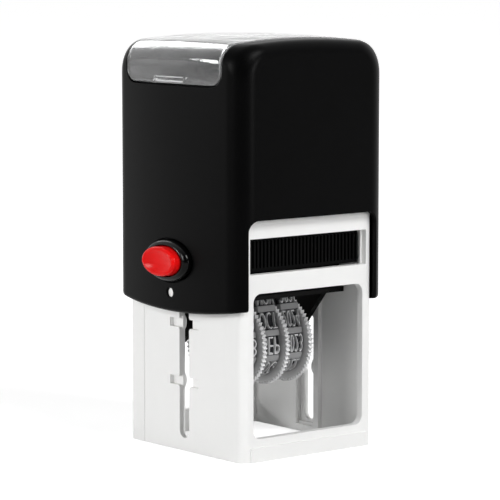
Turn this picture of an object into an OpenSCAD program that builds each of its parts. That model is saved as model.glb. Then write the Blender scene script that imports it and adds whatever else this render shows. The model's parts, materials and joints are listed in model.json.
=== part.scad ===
// Self-inking date stamp: a white base, a black cover that is pressed down on it, and a turret that
// turns over on the way so that the inked die and date bands meet the paper.
// Millimetres, Z up, the paper plane at z = 0, the date window faces -Y.

/* [Base] */
// Depth of the base from front to back
base_d = 40.5; // [37:0.25:45]
// Thickness of the walls
wall = 1.8; // [1.6:0.1:2]
// Rounding of the upright corners
base_r = 2; // [1:0.1:2.4]
// Width of the posts beside the windows
post_w = 3.15; // [2.8:0.05:4]
// Height of the bar below the windows
sill_h = 5; // [4:0.25:6]
// Height of the bar between the front window and the pad bay
lintel_h = 4.2; // [3.5:0.1:5]
// Height of the front opening of the pad bay
bay_h = 7.7; // [7.4:0.1:8]
// Height of the rim above the pad bay
rim_h = 4.5; // [3:0.25:6]
// Rounding of the window corners
window_r = 2; // [1:0.25:3]

/* [Motion] */
// Stroke of the cover
stroke = 28.5; // [26:0.25:31]
// Distance from the turret pivot to the face of the die
die_reach = 7.1; // [6.8:0.1:7.6]
// Distance from the turret pivot down to the wheel axle
wheel_drop = 13.2; // [12.6:0.1:13.6]
// Gap between the die and the ink pad at rest
pad_gap = 1.25; // [1.2:0.05:1.6]
// Width of the side slots
slot_w = 3.4; // [3.4:0.1:3.8]

/* [Cover] */
// How far the bowed sides of the cover stand out from the base
cover_side = 3.95; // [3.7:0.05:4.6]
// How far the front of the cover stands out from the base
cover_front = 1.95; // [1.7:0.05:2.6]
// Height of the cover above the rim of the base when it is pressed down
headroom = 10; // [9:0.25:14]
// Height of the cover's lower edge when it is pressed down
hem_gap = 2.9; // [1:0.1:4]
// Bow radius of the sides in plan
side_r = 120; // [100:5:160]
// Rounding of the upright corners
corner_r = 4.6; // [4:0.2:6]
// Bow radius of the top seen from the front
dome_r = 72; // [68:2:90]
// Rounding of the shoulders seen from the front
shoulder_r = 8; // [7:0.25:9]
// Rounding of the crest seen from the side
crest_r = 2.6; // [1.6:0.2:3]
// Depth of the hoods in front of and behind the index window
hood_d = 5.8; // [5.2:0.1:8]
// Height of the index window down the sides
glass_drop = 10.2; // [9.5:0.1:14]

/* [Buttons] */
// Height of the lock buttons above the turret pivot
button_rise = 7.1; // [6.9:0.1:7.4]
// Width of a button
button_w = 11.6; // [11:0.2:12.4]
// Height of a button
button_h = 6.5; // [6:0.1:6.8]
// How far a button stands out of the cover
button_proud = 3.5; // [3.2:0.1:4]
// Travel of a button
button_travel = 1.4; // [1:0.1:1.4]
// How far the cover is down when it latches for a change of pad
latch_mid = 14.3; // [13:0.1:15]

/* [Date works] */
// Tip radius of the thumb rims
rim_r = 9.7; // [9.3:0.1:9.9]
// Teeth of a thumb rim
rim_teeth = 60; // [48:2:64]
// Thickness of a thumb rim
rim_t = 1; // [0.8:0.1:1.1]
// Radius of the drum under a band
drum_r = 5.9; // [5.6:0.1:6.4]
// Thickness of a band
band_t = 0.9; // [0.8:0.1:1]
// Height of the raised characters
letter_t = 0.7; // [0.5:0.1:0.8]
// Width of a day drum
day_w = 2.7; // [2.5:0.1:2.8]
// Width of the month and year drums
year_w = 5.5; // [5:0.1:6.2]
// Depth of the die from front to back
die_d = 26; // [23:0.5:26]

/* [Hidden] */
$fn = 96;
white = [0.93, 0.93, 0.91];
black = [0.09, 0.09, 0.1];
red = [0.8, 0.07, 0.08];
grey = [0.5, 0.5, 0.51];
rubber = [0.34, 0.34, 0.35];
steel = [0.72, 0.73, 0.75];
clear = [0.8, 0.85, 0.88, 0.35];
paper = [0.95, 0.95, 0.93];
felt = [0.12, 0.12, 0.2];
foam = [0.86, 0.82, 0.6];
// clearances, from a pressed-in pin to a free-moving wall
eps = 0.1;
hold = 0.02;
run = 0.05;
slip = 0.15;
seam = 0.3;
free = 0.35;
wide = 0.45;
// heights of the pivot, the wheel axle, the die and the pad
pivot_z = stroke + die_reach;
axle_z = pivot_z - wheel_drop;
die_z = pivot_z + die_reach;
pad_z = die_z + pad_gap;
// widths: the month drum lies in the middle with the other drums beside it, each with its rim at the
// right end but for the tens, whose rim is at the left so that the two digits of the day meet
month_x = -year_w / 2;
year_x = month_x + year_w + rim_t + slip;
units_x = month_x - slip - rim_t - day_w;
tens_x = units_x - slip - day_w;
bands_end = year_x + year_w;
bands_w = bands_end - tens_x;
works_end = bands_end + rim_t;
// the turret and the base close round the drums
washer_w = 2.55;
room_x = works_end + slip + washer_w;
cheek_t = 1.5;
cheek_x = room_x + cheek_t;
holder_step = 1;
holder_x = cheek_x + holder_step;
rail_t = 0.9;
in_x = holder_x + wide + rail_t;
base_w = 2 * (in_x + wall);
in_y = base_d / 2 - wall;
// ink pad, cassette tray, and the ledges that carry the tray
pad_t = 2.85;
tray_t = 1.4;
tray_top = pad_z + pad_t + tray_t;
ledge_top = pad_z - free;
ledge_t = 1.2;
ledge_w = 2.1;
ledge_front = 2.2;
tray_z = ledge_top + slip;
// pad bay, windows and rim
bay_post = 2.2;
bay_step = 0.55;
bay_lip = 1.2;
bay_top = tray_top + seam;
bay_z = bay_top - bay_h;
bay_w = base_w - 2 * bay_post;
guide_x = bay_w / 2 - bay_step;
roof_z = bay_top + slip;
roof_t = 1.5;
base_h = bay_top + rim_h;
lip_r = 1.4;
rim_inset = 0.4;
window_w = base_w - 2 * post_w;
window_top = bay_z - lintel_h;
corner_strip = 5.7;
panel_y = base_d / 2 - corner_strip;
panel_t = 0.06;
foot_h = 3.2;
foot_t = 0.4;
// side slots, guide rails beside them, and latch recesses
slot_spare = 4.2;
slot_z = die_reach - slot_spare;
rail_y = 3.1;
rail_w = 1.7;
rail_z = 0.6;
rail_foot = 1.2;
rail_top = pivot_z + slot_w / 2 + rail_w;
slot_wall = 1.2;
swell_t = 0.95;
swell_h = 4;
swell_r = (pow(swell_t, 2) + pow(swell_h / 2, 2)) / (2 * swell_t);
button_z = pivot_z + button_rise;
latch_spare = 1.3;
latch_low = stroke - latch_spare;
latch_r = 2.2;
latch_w = 10.2;
latch_h = 2;
// cassette
tray_w = 2 * (guide_x - free);
grip_y = in_y - eps;
grip_t = 1.6;
grip_z = bay_z + free;
rib_n = 31;
rib_w = 0.5;
rib_t = 0.5;
rib_margin = 0.8;
// cover
cover_x = base_w / 2 + cover_side;
cover_y = base_d / 2 + cover_front;
cover_h = base_h + stroke + headroom;
cover_z = stroke + hem_gap;
cavity_x = base_w / 2 + free;
cavity_y = base_d / 2 + free;
skin = 2.8;
arch_half = 60;
crown_r = 300;
hem_r = 134;
arch_lip = 0.55;
arch_w = base_w - 2 * arch_lip;
arch_drop = 0.4;
arch_top = base_h - arch_drop;
arch_r = 2.5;
collar_side = 2.1;
collar_w = button_w + 2 * collar_side;
collar_rise = 1.65;
collar_h = button_h + 2 * collar_rise;
collar_t = 0.4;
bezel_edge = 1;
bezel_t = 1.6;
collar_step = 5;
post_r = 6.6;
post_h = 2;
// index window and card
glass_y = cover_y - hood_d;
glass_z = cover_h - glass_drop;
glass_r = 3;
glass_proud = 0.15;
glass_bed = 1.3;
card_t = 0.3;
card_margin = 0.6;
card_x = cover_x - shoulder_r - card_margin;
card_y = glass_y - card_margin;
pry_w = 10.4;
pry_h = 0.9;
pry_rise = 0.5;
pry_t = 0.5;
// lock buttons
flange_edge = 0.8;
flange_w = button_w + 2 * flange_edge;
flange_h = button_h + 2 * flange_edge;
flange_t = 0.8;
flange_sink = 1.55;
flange_x = cover_x - flange_sink;
prong_gap = 0.5;
prong_x = base_w / 2 + prong_gap;
prong_y = 3.3;
prong_w = 1.4;
prong_h = 1.5;
latch_t = button_travel - prong_gap + 2 * eps;
plug_r = 1.85;
dish_r = 20;
dish_t = 0.35;
// pivot pins
pin_r = 1.4;
pin_tip_r = 1;
pin_sink = 0.5;
pin_bevel = 0.15;
// turret
holder_r = 1.2;
apron_t = 1.2;
apron_drop = 1.3;
apron_lip = 1.6;
apron_lip_t = 1;
apron_z = pivot_z - apron_drop;
cheek_r = 2.8;
cheek_step = 1;
neck_h = 3.5;
tail_y = 6.6;
tail_h = 0.6;
boss_r = 2.7;
plate_t = 1.9;
cushion_t = 0.6;
die_base_t = 0.7;
die_t = 1.3;
die_edge = 0.6;
die_x = cheek_x - die_edge;
die_y = die_d / 2;
die_line = 0.8;
holder_y = die_y + slip;
plate_top = die_z - die_t - cushion_t;
plate_z = plate_top - plate_t;
slit_y = 4.3;
slit_die_y = 3.7;
pad_over = 0.3;
pad_w = 2 * (die_x + pad_over);
pad_end = 1.7;
pad_d = 2 * (die_y + pad_end);
// band loop
loop_r = drum_r + slip;
bridge_y = 1.1;
bridge_r = 0.8;
bridge_h = 2;
bridge_top = die_z - letter_t - band_t;
bridge_z = plate_z - bridge_h;
// wheels
axle_r = 1.5;
drum_t = 1.3;
hub_r = 2.9;
tooth_t = 0.7;
clip_r = 2.6;
clip_t = 0.5;
// return spring
coil_r = 8;
wire_t = 0.9;
coil_n = 7;
coil_end = 1.6;
coil_free = 0.75;
ring_n = 8;
side_n = 6;
coil_z0 = roof_z + roof_t + wire_t / 2 + slip;
coil_z1 = cover_h - skin - wire_t / 2 - coil_free;

module across_x(a, b) {
  translate([a, 0, 0]) rotate([90, 0, 90]) linear_extrude(b - a) children();
}

module along_y(length) {
  rotate([90, 0, 0]) linear_extrude(length, center = true) children();
}

module both_sides() {
  children();
  mirror([1, 0, 0]) children();
}

module front_and_back() {
  children();
  mirror([0, 1, 0]) children();
}

module round_rect(w, h, r) {
  square([w - 2 * r, h], center = true);
  square([w, h - 2 * r], center = true);
  for (sx = [-1, 1], sy = [-1, 1])
    translate([sx * (w / 2 - r), sy * (h / 2 - r)]) circle(r);
}

// Oval of four arcs that run smoothly into each other.
module oval(w, h) {
  end_r = 0.36 * h;
  end_x = w / 2 - end_r;
  side_r = (pow(end_x, 2) + pow(h / 2, 2) - pow(end_r, 2)) / (h - 2 * end_r);
  intersection() {
    translate([0, side_r - h / 2]) circle(side_r);
    translate([0, h / 2 - side_r]) circle(side_r);
    square([2 * end_x * side_r / (side_r - end_r), 2 * h], center = true);
  }
  for (s = [-1, 1]) translate([s * end_x, 0]) circle(end_r);
}

// Outline with two bowed ends at +-bow, two flat sides at +-flat, and rounded corners between them.
module bowed(bow, bow_r, round_r, flat) {
  c = bow_r - bow;
  ky = flat - round_r;
  kx = sqrt(pow(bow_r - round_r, 2) - pow(ky, 2)) - c;
  turn = atan2(ky, kx + c);
  intersection() {
    translate([c, 0]) circle(bow_r, $fn = 240);
    translate([-c, 0]) circle(bow_r, $fn = 240);
    square([4 * bow, 2 * bow_r * sin(turn)], center = true);
  }
  square([2 * kx, 2 * flat], center = true);
  for (sx = [-1, 1], sy = [-1, 1]) translate([sx * kx, sy * ky]) circle(round_r);
}

module base_frame() {
  color(white) {
    difference() {
      union() {
        difference() {
          linear_extrude(base_h) round_rect(base_w, base_d, base_r);
          translate([-in_x, -in_y, -eps]) cube([2 * in_x, 2 * in_y, roof_z + eps]);
          translate([-in_x, -in_y, roof_z + roof_t]) cube([2 * in_x, 2 * in_y, base_h]);
          both_sides() slot_bed();
        }
        both_sides() swellings();
      }
      along_y(2 * base_d)
        translate([0, (sill_h + window_top) / 2]) round_rect(window_w, window_top - sill_h, window_r);
      translate([-bay_w / 2, -base_d, bay_z]) cube([bay_w, base_d / 2 + bay_lip, bay_top - bay_z]);
      translate([-guide_x, -base_d, bay_z]) cube([2 * guide_x, base_d / 2 + wall, bay_top - bay_z]);
      translate([-bay_w / 2, base_d / 2 - 2 * wall, ledge_top])
        cube([bay_w, base_d, bay_top - ledge_top]);
      front_and_back() translate([0, -base_d / 2, base_h]) across_x(-base_w, base_w) rim_cut();
      both_sides() {
        translate([base_w / 2 - panel_t, -panel_y, -eps]) cube([wall, 2 * panel_y, 2 * base_h]);
        translate([base_w / 2 - rim_inset, -base_d, bay_top]) cube([wall, 2 * base_d, base_h]);
      }
      across_x(-base_w, base_w) side_slot();
      both_sides() latch_recesses();
    }
    both_sides() guide_rails();
    both_sides()
      translate([in_x - ledge_w, ledge_front - in_y, ledge_top - ledge_t])
        cube([ledge_w + eps, 2 * in_y - ledge_front + eps, ledge_t]);
    both_sides()
      translate([guide_x, -in_y - eps, ledge_top - eps])
        cube([in_x - guide_x + eps, 2 * (in_y + eps), roof_z - ledge_top + 2 * eps]);
    front_and_back() translate([-bay_w / 2, -base_d / 2 - foot_t, 0]) cube([bay_w, foot_t + eps, foot_h]);
    translate([0, 0, roof_z + roof_t - eps]) cylinder(r = post_r, h = post_h + eps);
  }
}

// Rounding of the rim's outer edge, seen along X with the edge at the origin.
module rim_cut() {
  difference() {
    translate([-eps, -lip_r]) square(lip_r + eps);
    translate([lip_r, -lip_r]) circle(lip_r);
  }
}

// Slot for the pivot pin.
module side_slot() {
  low = slot_z + slot_w / 2;
  high = pivot_z + 2 * eps;
  translate([-slot_w / 2, low]) square([slot_w, high - low]);
  for (z = [low, high]) translate([0, z]) circle(slot_w / 2);
}

// Thinner wall round a slot, on the inside between the rails.
module slot_bed() {
  translate([in_x - eps, eps - rail_y, slot_z - wide])
    cube([wall - slot_wall + eps, 2 * (rail_y - eps), rail_top - slot_z]);
}

// Rounded swellings of that wall behind the latch recesses.
module swellings() {
  bed_x = base_w / 2 - slot_wall;
  for (s = [latch_mid, latch_low]) intersection() {
    translate([bed_x - swell_t + swell_r, 0, button_z - s]) rotate([90, 0, 0])
      cylinder(r = swell_r, h = 2 * (rail_y + eps), center = true);
    translate([0, -base_d / 2, 0]) cube([bed_x + eps, base_d, base_h]);
  }
}

// Where a latched button's plug and prongs come to lie.
module latch_recesses() {
  floor_x = base_w / 2 - latch_t;
  for (s = [0, latch_mid, latch_low]) {
    across_x(floor_x, base_w) translate([0, button_z - s]) circle(latch_r);
    translate([floor_x, -latch_w / 2, button_z - s - latch_h / 2]) cube([base_w, latch_w, latch_h]);
  }
}

// Rails beside a slot, joined below it.
module guide_rails() {
  front_and_back()
    translate([in_x - rail_t, rail_y, rail_z])
      cube([rail_t + eps, rail_w, rail_top - rail_z]);
  translate([in_x - rail_t, -rail_y - eps, rail_z]) cube([rail_t + eps, 2 * (rail_y + eps), rail_foot]);
}

module pad_cassette() {
  color(black) difference() {
    union() {
      translate([-tray_w / 2, -grip_y, tray_z]) cube([tray_w, 2 * grip_y, tray_top - tray_z]);
      translate([-tray_w / 2, -grip_y, grip_z]) cube([tray_w, grip_t, tray_top - grip_z]);
      grip_ribs();
    }
    translate([-pad_w / 2 - slip, -pad_d / 2 - slip, tray_z - eps])
      cube([pad_w + 2 * slip, pad_d + 2 * slip, tray_top - tray_t - tray_z + eps]);
  }
}

module grip_ribs() {
  pitch = tray_w / rib_n;
  for (i = [0 : rib_n - 1])
    translate([(i + 0.5) * pitch - tray_w / 2 - rib_w / 2, -grip_y - rib_t, grip_z + rib_margin])
      cube([rib_w, rib_t + eps, tray_top - grip_z - 1.5 * rib_margin]);
}

module ink_pad() {
  color(felt) translate([-pad_w / 2, -pad_d / 2, pad_z]) cube([pad_w, pad_d, tray_top - tray_t - pad_z]);
}

module front_arch(inset) {
  translate([0, cover_h - arch_half]) rotate(90)
    bowed(arch_half - inset, dome_r - inset, shoulder_r - inset, cover_x - inset);
}

module side_arch(inset) {
  translate([0, cover_h - arch_half]) rotate(90)
    bowed(arch_half - inset, crown_r - inset, crest_r - inset, cover_y - inset);
}

// The cover's outer form, moved inward by inset.
module cover_form(inset) {
  intersection() {
    linear_extrude(2 * cover_h) bowed(cover_x - inset, side_r - inset, corner_r - inset, cover_y - inset);
    along_y(4 * cover_y) front_arch(inset);
    across_x(-2 * cover_x, 2 * cover_x) side_arch(inset);
  }
}

// Side view of the index window's saddle, widened by grow.
module saddle(grow) {
  tall = 2 * (cover_h - glass_z);
  translate([0, glass_z + tall / 2]) round_rect(2 * (glass_y + grow), tall + 2 * grow, glass_r + grow);
}

module cover_shell() {
  color(black) {
    difference() {
      union() {
        intersection() {
          cover_form(0);
          translate([0, 0, cover_z + hem_r]) rotate([0, 90, 0])
            cylinder(r = hem_r, h = 4 * cover_x, center = true, $fn = 360);
        }
        both_sides() translate([0, 0, button_z]) {
          across_x(flange_x, cover_x + collar_t) collar(0);
          across_x(flange_x, cover_x + bezel_t) collar(bezel_edge);
        }
      }
      intersection() {
        translate([-cavity_x, -cavity_y, 0]) cube([2 * cavity_x, 2 * cavity_y, cover_h]);
        along_y(4 * cover_y) front_arch(skin);
      }
      difference() {
        across_x(-2 * cover_x, 2 * cover_x) saddle(seam);
        cover_form(glass_bed);
      }
      along_y(4 * cover_y) round_rect(arch_w, 2 * arch_top, arch_r);
      both_sides() button_well();
      both_sides() pivot_hole();
    }
    translate([0, 0, cover_h - skin - post_h]) cylinder(r = post_r, h = post_h + 3 * eps);
  }
}

// Ellipse round a button well, moved inward by inset.
module collar(inset) {
  polygon([for (a = [0 : collar_step : 360 - collar_step])
    [(collar_w / 2 - inset) * cos(a), (collar_h / 2 - inset) * sin(a)]]);
}

module button_well() {
  translate([0, 0, button_z]) {
    across_x(cavity_x - eps, flange_x + slip) oval(flange_w + free, flange_h + free);
    across_x(cavity_x - eps, 2 * cover_x) oval(button_w + free, button_h + free);
  }
}

// Hole for the tip of a pivot pin, with a bevelled mouth.
module pivot_hole() {
  hole_r = pin_tip_r + run;
  translate([0, 0, pivot_z]) rotate([0, 90, 0]) {
    cylinder(r = hole_r, h = 2 * cover_x);
    translate([0, 0, cover_x - pin_bevel])
      cylinder(r1 = hole_r, r2 = hole_r + 2 * pin_bevel, h = 2 * pin_bevel);
  }
}

module index_window() {
  color(clear) difference() {
    intersection() {
      cover_form(-glass_proud);
      across_x(-2 * cover_x, 2 * cover_x) saddle(0);
    }
    cover_form(glass_bed - card_t - slip);
    both_sides() translate([cover_x + glass_proud - pry_t, -pry_w / 2, glass_z + pry_rise])
      cube([cover_x, pry_w, pry_h]);
  }
}

module index_card() {
  color(paper) difference() {
    intersection() {
      cover_form(glass_bed - card_t);
      translate([-card_x, -card_y, glass_z]) cube([2 * card_x, 2 * card_y, cover_h]);
    }
    cover_form(glass_bed);
  }
}

// Height of the coil's centre line after a number of turns: close ends, open middle.
function coil_z(t) = t < 1 ? coil_z0 + coil_end * t
  : t > coil_n - 1 ? coil_z1 - coil_end * (coil_n - t)
  : coil_z0 + coil_end + (coil_z1 - coil_z0 - 2 * coil_end) * (t - 1) / (coil_n - 2);
function coil_mid(t) = [coil_r * cos(360 * t), coil_r * sin(360 * t), coil_z(t)];
function coil_ring(t) = [for (k = [0 : side_n - 1])
  let (a = 360 * k / side_n, r = coil_r + wire_t / 2 * cos(a))
  [r * cos(360 * t), r * sin(360 * t), coil_z(t) + wire_t / 2 * sin(a)]];
coil_steps = coil_n * ring_n;
coil_gap = min([for (i = [0 : coil_steps - ring_n])
  norm(coil_mid((i + ring_n) / ring_n) - coil_mid(i / ring_n)) - wire_t]);
echo(coil_gap = coil_gap);

module return_spring() {
  points = [for (i = [0 : coil_steps]) each coil_ring(i / ring_n)];
  last = coil_steps * side_n;
  faces = concat(
    [[for (k = [0 : side_n - 1]) k]],
    [for (i = [0 : coil_steps - 1], k = [0 : side_n - 1])
      let (a = i * side_n + k, b = i * side_n + (k + 1) % side_n) [a, a + side_n, b + side_n, b]],
    [[for (k = [0 : side_n - 1]) last + side_n - 1 - k]]);
  color(steel) polyhedron(points, faces);
}

// One lock button, for the +X side.
module lock_button() {
  color(red) difference() {
    translate([0, 0, button_z]) {
      across_x(flange_x - eps, cover_x + button_proud) oval(button_w, button_h);
      across_x(flange_x - flange_t, flange_x) oval(flange_w, flange_h);
      across_x(prong_x, flange_x - flange_t / 2) circle(plug_r);
      front_and_back() translate([prong_x, prong_y, -prong_h / 2])
        cube([flange_x - flange_t / 2 - prong_x, prong_w, prong_h]);
    }
    translate([cover_x + button_proud + dish_r - dish_t, 0, button_z]) sphere(dish_r);
  }
}

module lock_button_left() {
  mirror([1, 0, 0]) lock_button();
}

module lock_button_right() {
  lock_button();
}

// Cheek of the turret, seen along X: wide under the plate, tapering to a neck above the wheel axle, and
// drawn down into a tail at the back.
module cheek() {
  top = plate_z + eps;
  shoulder = plate_z - cheek_step;
  neck = axle_z + neck_h;
  polygon([[cheek_r, axle_z], [cheek_r, neck], [tail_y, axle_z + tail_h], [holder_y, shoulder],
    [holder_y, top], [-holder_y, top], [-holder_y, shoulder], [-cheek_r, neck], [-cheek_r, axle_z]]);
  translate([0, axle_z]) circle(cheek_r);
}

module turret_frame() {
  color(black) difference() {
    union() {
      difference() {
        translate([0, 0, apron_z]) {
          linear_extrude(plate_top - apron_z) round_rect(2 * holder_x, 2 * holder_y, holder_r);
          linear_extrude(apron_lip_t) round_rect(2 * holder_x, 2 * (holder_y + apron_lip), holder_r);
        }
        translate([apron_t - holder_x, apron_t - holder_y, apron_z - eps])
          cube([2 * (holder_x - apron_t), 2 * (holder_y - apron_t), plate_z - apron_z + eps]);
      }
      both_sides() {
        across_x(room_x, cheek_x) cheek();
        across_x(room_x, holder_x) translate([0, pivot_z]) circle(boss_r);
      }
    }
    translate([tens_x - slip, -slit_y, plate_z - eps])
      cube([bands_w + 2 * slip, 2 * slit_y, plate_t + 2 * eps]);
    across_x(-2 * cheek_x, 2 * cheek_x) translate([0, axle_z]) circle(axle_r + hold);
    across_x(-2 * cheek_x, 2 * cheek_x) translate([0, pivot_z]) circle(pin_r + hold);
  }
}

module die_slit(z, h) {
  translate([tens_x - slip, -slit_die_y, z - eps])
    cube([bands_w + 2 * slip, 2 * slit_die_y, h + 2 * eps]);
}

module die_cushion() {
  color(foam) difference() {
    translate([-die_x, -die_y, plate_top]) cube([2 * die_x, 2 * die_y, cushion_t]);
    die_slit(plate_top, cushion_t);
  }
}

// Rubber die: a thin sheet with a raised border and two raised rules beside the date.
module text_plate() {
  z = plate_top + cushion_t;
  color(rubber) difference() {
    translate([-die_x, -die_y, z]) cube([2 * die_x, 2 * die_y, die_t]);
    front_and_back() translate([-die_x + die_line, slit_die_y + 2 * die_line, z + die_base_t])
      cube([2 * (die_x - die_line), die_y - slit_die_y - 3 * die_line, die_t]);
    die_slit(z, die_t);
  }
}

// Cross-section of the part of the bridge that the bands run over.
module anvil() {
  half = bridge_y + bridge_r;
  translate([-half, plate_z - eps]) square([2 * half, bridge_top - bridge_r - plate_z + eps]);
  translate([-bridge_y, bridge_top - 2 * bridge_r]) square([2 * bridge_y, 2 * bridge_r]);
  for (s = [-1, 1]) translate([s * bridge_y, bridge_top - bridge_r]) circle(bridge_r);
}

module band_bridge() {
  color(grey) {
    translate([-room_x, -bridge_y - bridge_r, bridge_z])
      cube([2 * room_x, 2 * (bridge_y + bridge_r), plate_z - bridge_z]);
    across_x(tens_x, bands_end) anvil();
  }
}

// One pivot pin, for the +X side: its shank runs in the slot, its tip in the cover.
module pivot_pin() {
  color(white) {
    across_x(room_x, cavity_x - slip) translate([0, pivot_z]) circle(pin_r);
    across_x(cheek_x, cover_x - pin_sink) translate([0, pivot_z]) circle(pin_tip_r);
  }
}

module pivot_pin_left() {
  mirror([1, 0, 0]) pivot_pin();
}

module pivot_pin_right() {
  pivot_pin();
}

module wheel_axle() {
  color(steel) across_x(-cheek_x - 2 * clip_t, cheek_x + 2 * clip_t) translate([0, axle_z]) circle(axle_r);
}

module ring_on_axle(a, b, r) {
  across_x(a, b) translate([0, axle_z]) difference() {
    circle(r);
    circle(axle_r + hold);
  }
}

module axle_washers() {
  color(grey) {
    ring_on_axle(works_end + slip, room_x, hub_r);
    ring_on_axle(-room_x, tens_x - rim_t - slip, hub_r);
  }
}

module axle_clips() {
  color(steel) both_sides() ring_on_axle(cheek_x, cheek_x + clip_t, clip_r);
}

// Points of a band's loop: round the drum, then up to the two edges of the bridge.
function loop_points(grow) =
  let (cz = bridge_top - bridge_r, up = cz - axle_z, far = norm([bridge_y, up]),
    lean = atan2(up, bridge_y) - acos((loop_r - bridge_r) / far),
    big = loop_r + grow, small = bridge_r + grow)
  concat(
    [for (i = [0 : 6]) let (a = 90 + (lean - 90) * i / 6)
      [bridge_y + small * cos(a), cz + small * sin(a)]],
    [for (i = [0 : 36]) let (a = lean - (180 + 2 * lean) * i / 36)
      [big * cos(a), axle_z + big * sin(a)]],
    [for (i = [0 : 6]) let (a = 180 - lean + (lean - 90) * i / 6)
      [small * cos(a) - bridge_y, cz + small * sin(a)]]);

module date_band(x, w) {
  color(rubber) across_x(x + slip, x + w - slip) difference() {
    polygon(loop_points(band_t));
    polygon(loop_points(0));
  }
}

module day_tens_band() {
  date_band(tens_x, day_w);
}

module day_units_band() {
  date_band(units_x, day_w);
}

module month_band() {
  date_band(month_x, year_w);
}

module year_band() {
  date_band(year_x, year_w);
}

function tooth_point(i) = let (a = 180 * i / rim_teeth, r = rim_r - (i % 2) * tooth_t)
  [r * cos(a), r * sin(a)];

// A drum that carries a band, with a toothed thumb rim at its right end.
module date_wheel(x, w) {
  color(grey) translate([0, 0, axle_z]) difference() {
    union() {
      across_x(x, x + w) circle(drum_r);
      across_x(x + w, x + w + rim_t) polygon([for (i = [0 : 2 * rim_teeth - 1]) tooth_point(i)]);
    }
    across_x(x - eps, x + w - drum_t) difference() {
      circle(drum_r - drum_t);
      circle(hub_r);
    }
    across_x(x - eps, x + w + rim_t + eps) circle(axle_r + run);
  }
}

module day_tens_wheel() {
  mirror([1, 0, 0]) date_wheel(-tens_x - day_w, day_w);
}

module day_units_wheel() {
  date_wheel(units_x, day_w);
}

module month_wheel() {
  date_wheel(month_x, year_w);
}

module year_wheel() {
  date_wheel(year_x, year_w);
}

base_frame();
pad_cassette();
ink_pad();
cover_shell();
index_window();
index_card();
return_spring();
lock_button_left();
lock_button_right();
turret_frame();
die_cushion();
text_plate();
band_bridge();
pivot_pin_left();
pivot_pin_right();
wheel_axle();
axle_washers();
axle_clips();
day_tens_band();
day_units_band();
month_band();
year_band();
day_tens_wheel();
day_units_wheel();
month_wheel();
year_wheel();
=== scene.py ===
"""Dresses the self-inking date stamp: its finishes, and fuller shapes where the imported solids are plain.

Shapes are worked out in millimetres as whole arrays and put into meshes in metres, in the frame of the
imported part: Z up from the paper, the date window towards -Y.
"""

import json
import logging
import math
from dataclasses import dataclass, field
from enum import Enum

import bmesh
import bpy
import numpy as np
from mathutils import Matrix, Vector

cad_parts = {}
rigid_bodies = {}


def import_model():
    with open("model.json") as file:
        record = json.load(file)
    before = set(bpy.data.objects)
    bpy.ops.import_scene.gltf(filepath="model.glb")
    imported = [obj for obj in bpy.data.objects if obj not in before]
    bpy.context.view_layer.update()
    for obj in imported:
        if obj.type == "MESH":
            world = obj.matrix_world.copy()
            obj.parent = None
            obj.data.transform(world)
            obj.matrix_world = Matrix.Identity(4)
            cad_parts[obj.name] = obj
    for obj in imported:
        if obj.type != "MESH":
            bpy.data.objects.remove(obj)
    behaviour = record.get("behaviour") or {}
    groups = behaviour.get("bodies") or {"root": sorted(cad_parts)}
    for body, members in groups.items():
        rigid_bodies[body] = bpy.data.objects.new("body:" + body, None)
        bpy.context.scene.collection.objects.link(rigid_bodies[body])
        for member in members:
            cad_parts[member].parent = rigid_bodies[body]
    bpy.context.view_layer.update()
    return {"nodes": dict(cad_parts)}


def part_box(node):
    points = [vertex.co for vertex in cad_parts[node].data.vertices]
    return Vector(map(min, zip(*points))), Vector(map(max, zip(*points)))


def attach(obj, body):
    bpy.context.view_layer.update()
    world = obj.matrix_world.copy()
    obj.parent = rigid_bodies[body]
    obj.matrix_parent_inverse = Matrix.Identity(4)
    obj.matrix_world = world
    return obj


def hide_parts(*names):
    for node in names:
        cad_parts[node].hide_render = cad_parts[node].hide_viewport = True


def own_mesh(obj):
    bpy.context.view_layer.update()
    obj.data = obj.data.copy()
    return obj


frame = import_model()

MM = 0.001
LOG = logging.getLogger("date_stamp")
LETTER_THINNED = 0.016
Colour = tuple[float, float, float]
Place = tuple[float, float, float]


class Side(Enum):
    """The two broad sides of the stamp, by the sign of X."""

    LEFT = -1
    RIGHT = 1


class Axis(Enum):
    """The direction that a flat outline is carried along."""

    X = 0
    Y = 1


def node_box(node: str) -> tuple[np.ndarray, np.ndarray]:
    """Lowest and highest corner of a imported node, in millimetres.

    Args:
        node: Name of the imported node.

    Returns:
        The two corners.
    """
    low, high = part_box(node)
    return np.array(low) / MM, np.array(high) / MM


def smooth_step(low: float, high: float, values: np.ndarray) -> np.ndarray:
    """Eases from 0 at low to 1 at high by 3t^2 - 2t^3.

    Args:
        low: Where the rise starts.
        high: Where it ends.
        values: Places to look at.

    Returns:
        The eased share at each place.
    """
    t = np.clip((values - low) / (high - low), 0, 1)
    return t * t * (3 - 2 * t)


def window_of(low: float, high: float, soft: float, values: np.ndarray) -> np.ndarray:
    """A soft-edged box function: 1 between low and high, 0 outside.

    Args:
        low: Start of the box.
        high: End of the box.
        soft: Width of the eased edges.
        values: Places to look at.

    Returns:
        The box's height at each place.
    """
    rise = smooth_step(low - soft / 2, low + soft / 2, values)
    fall = smooth_step(high - soft / 2, high + soft / 2, values)
    return rise * (1 - fall)


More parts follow.
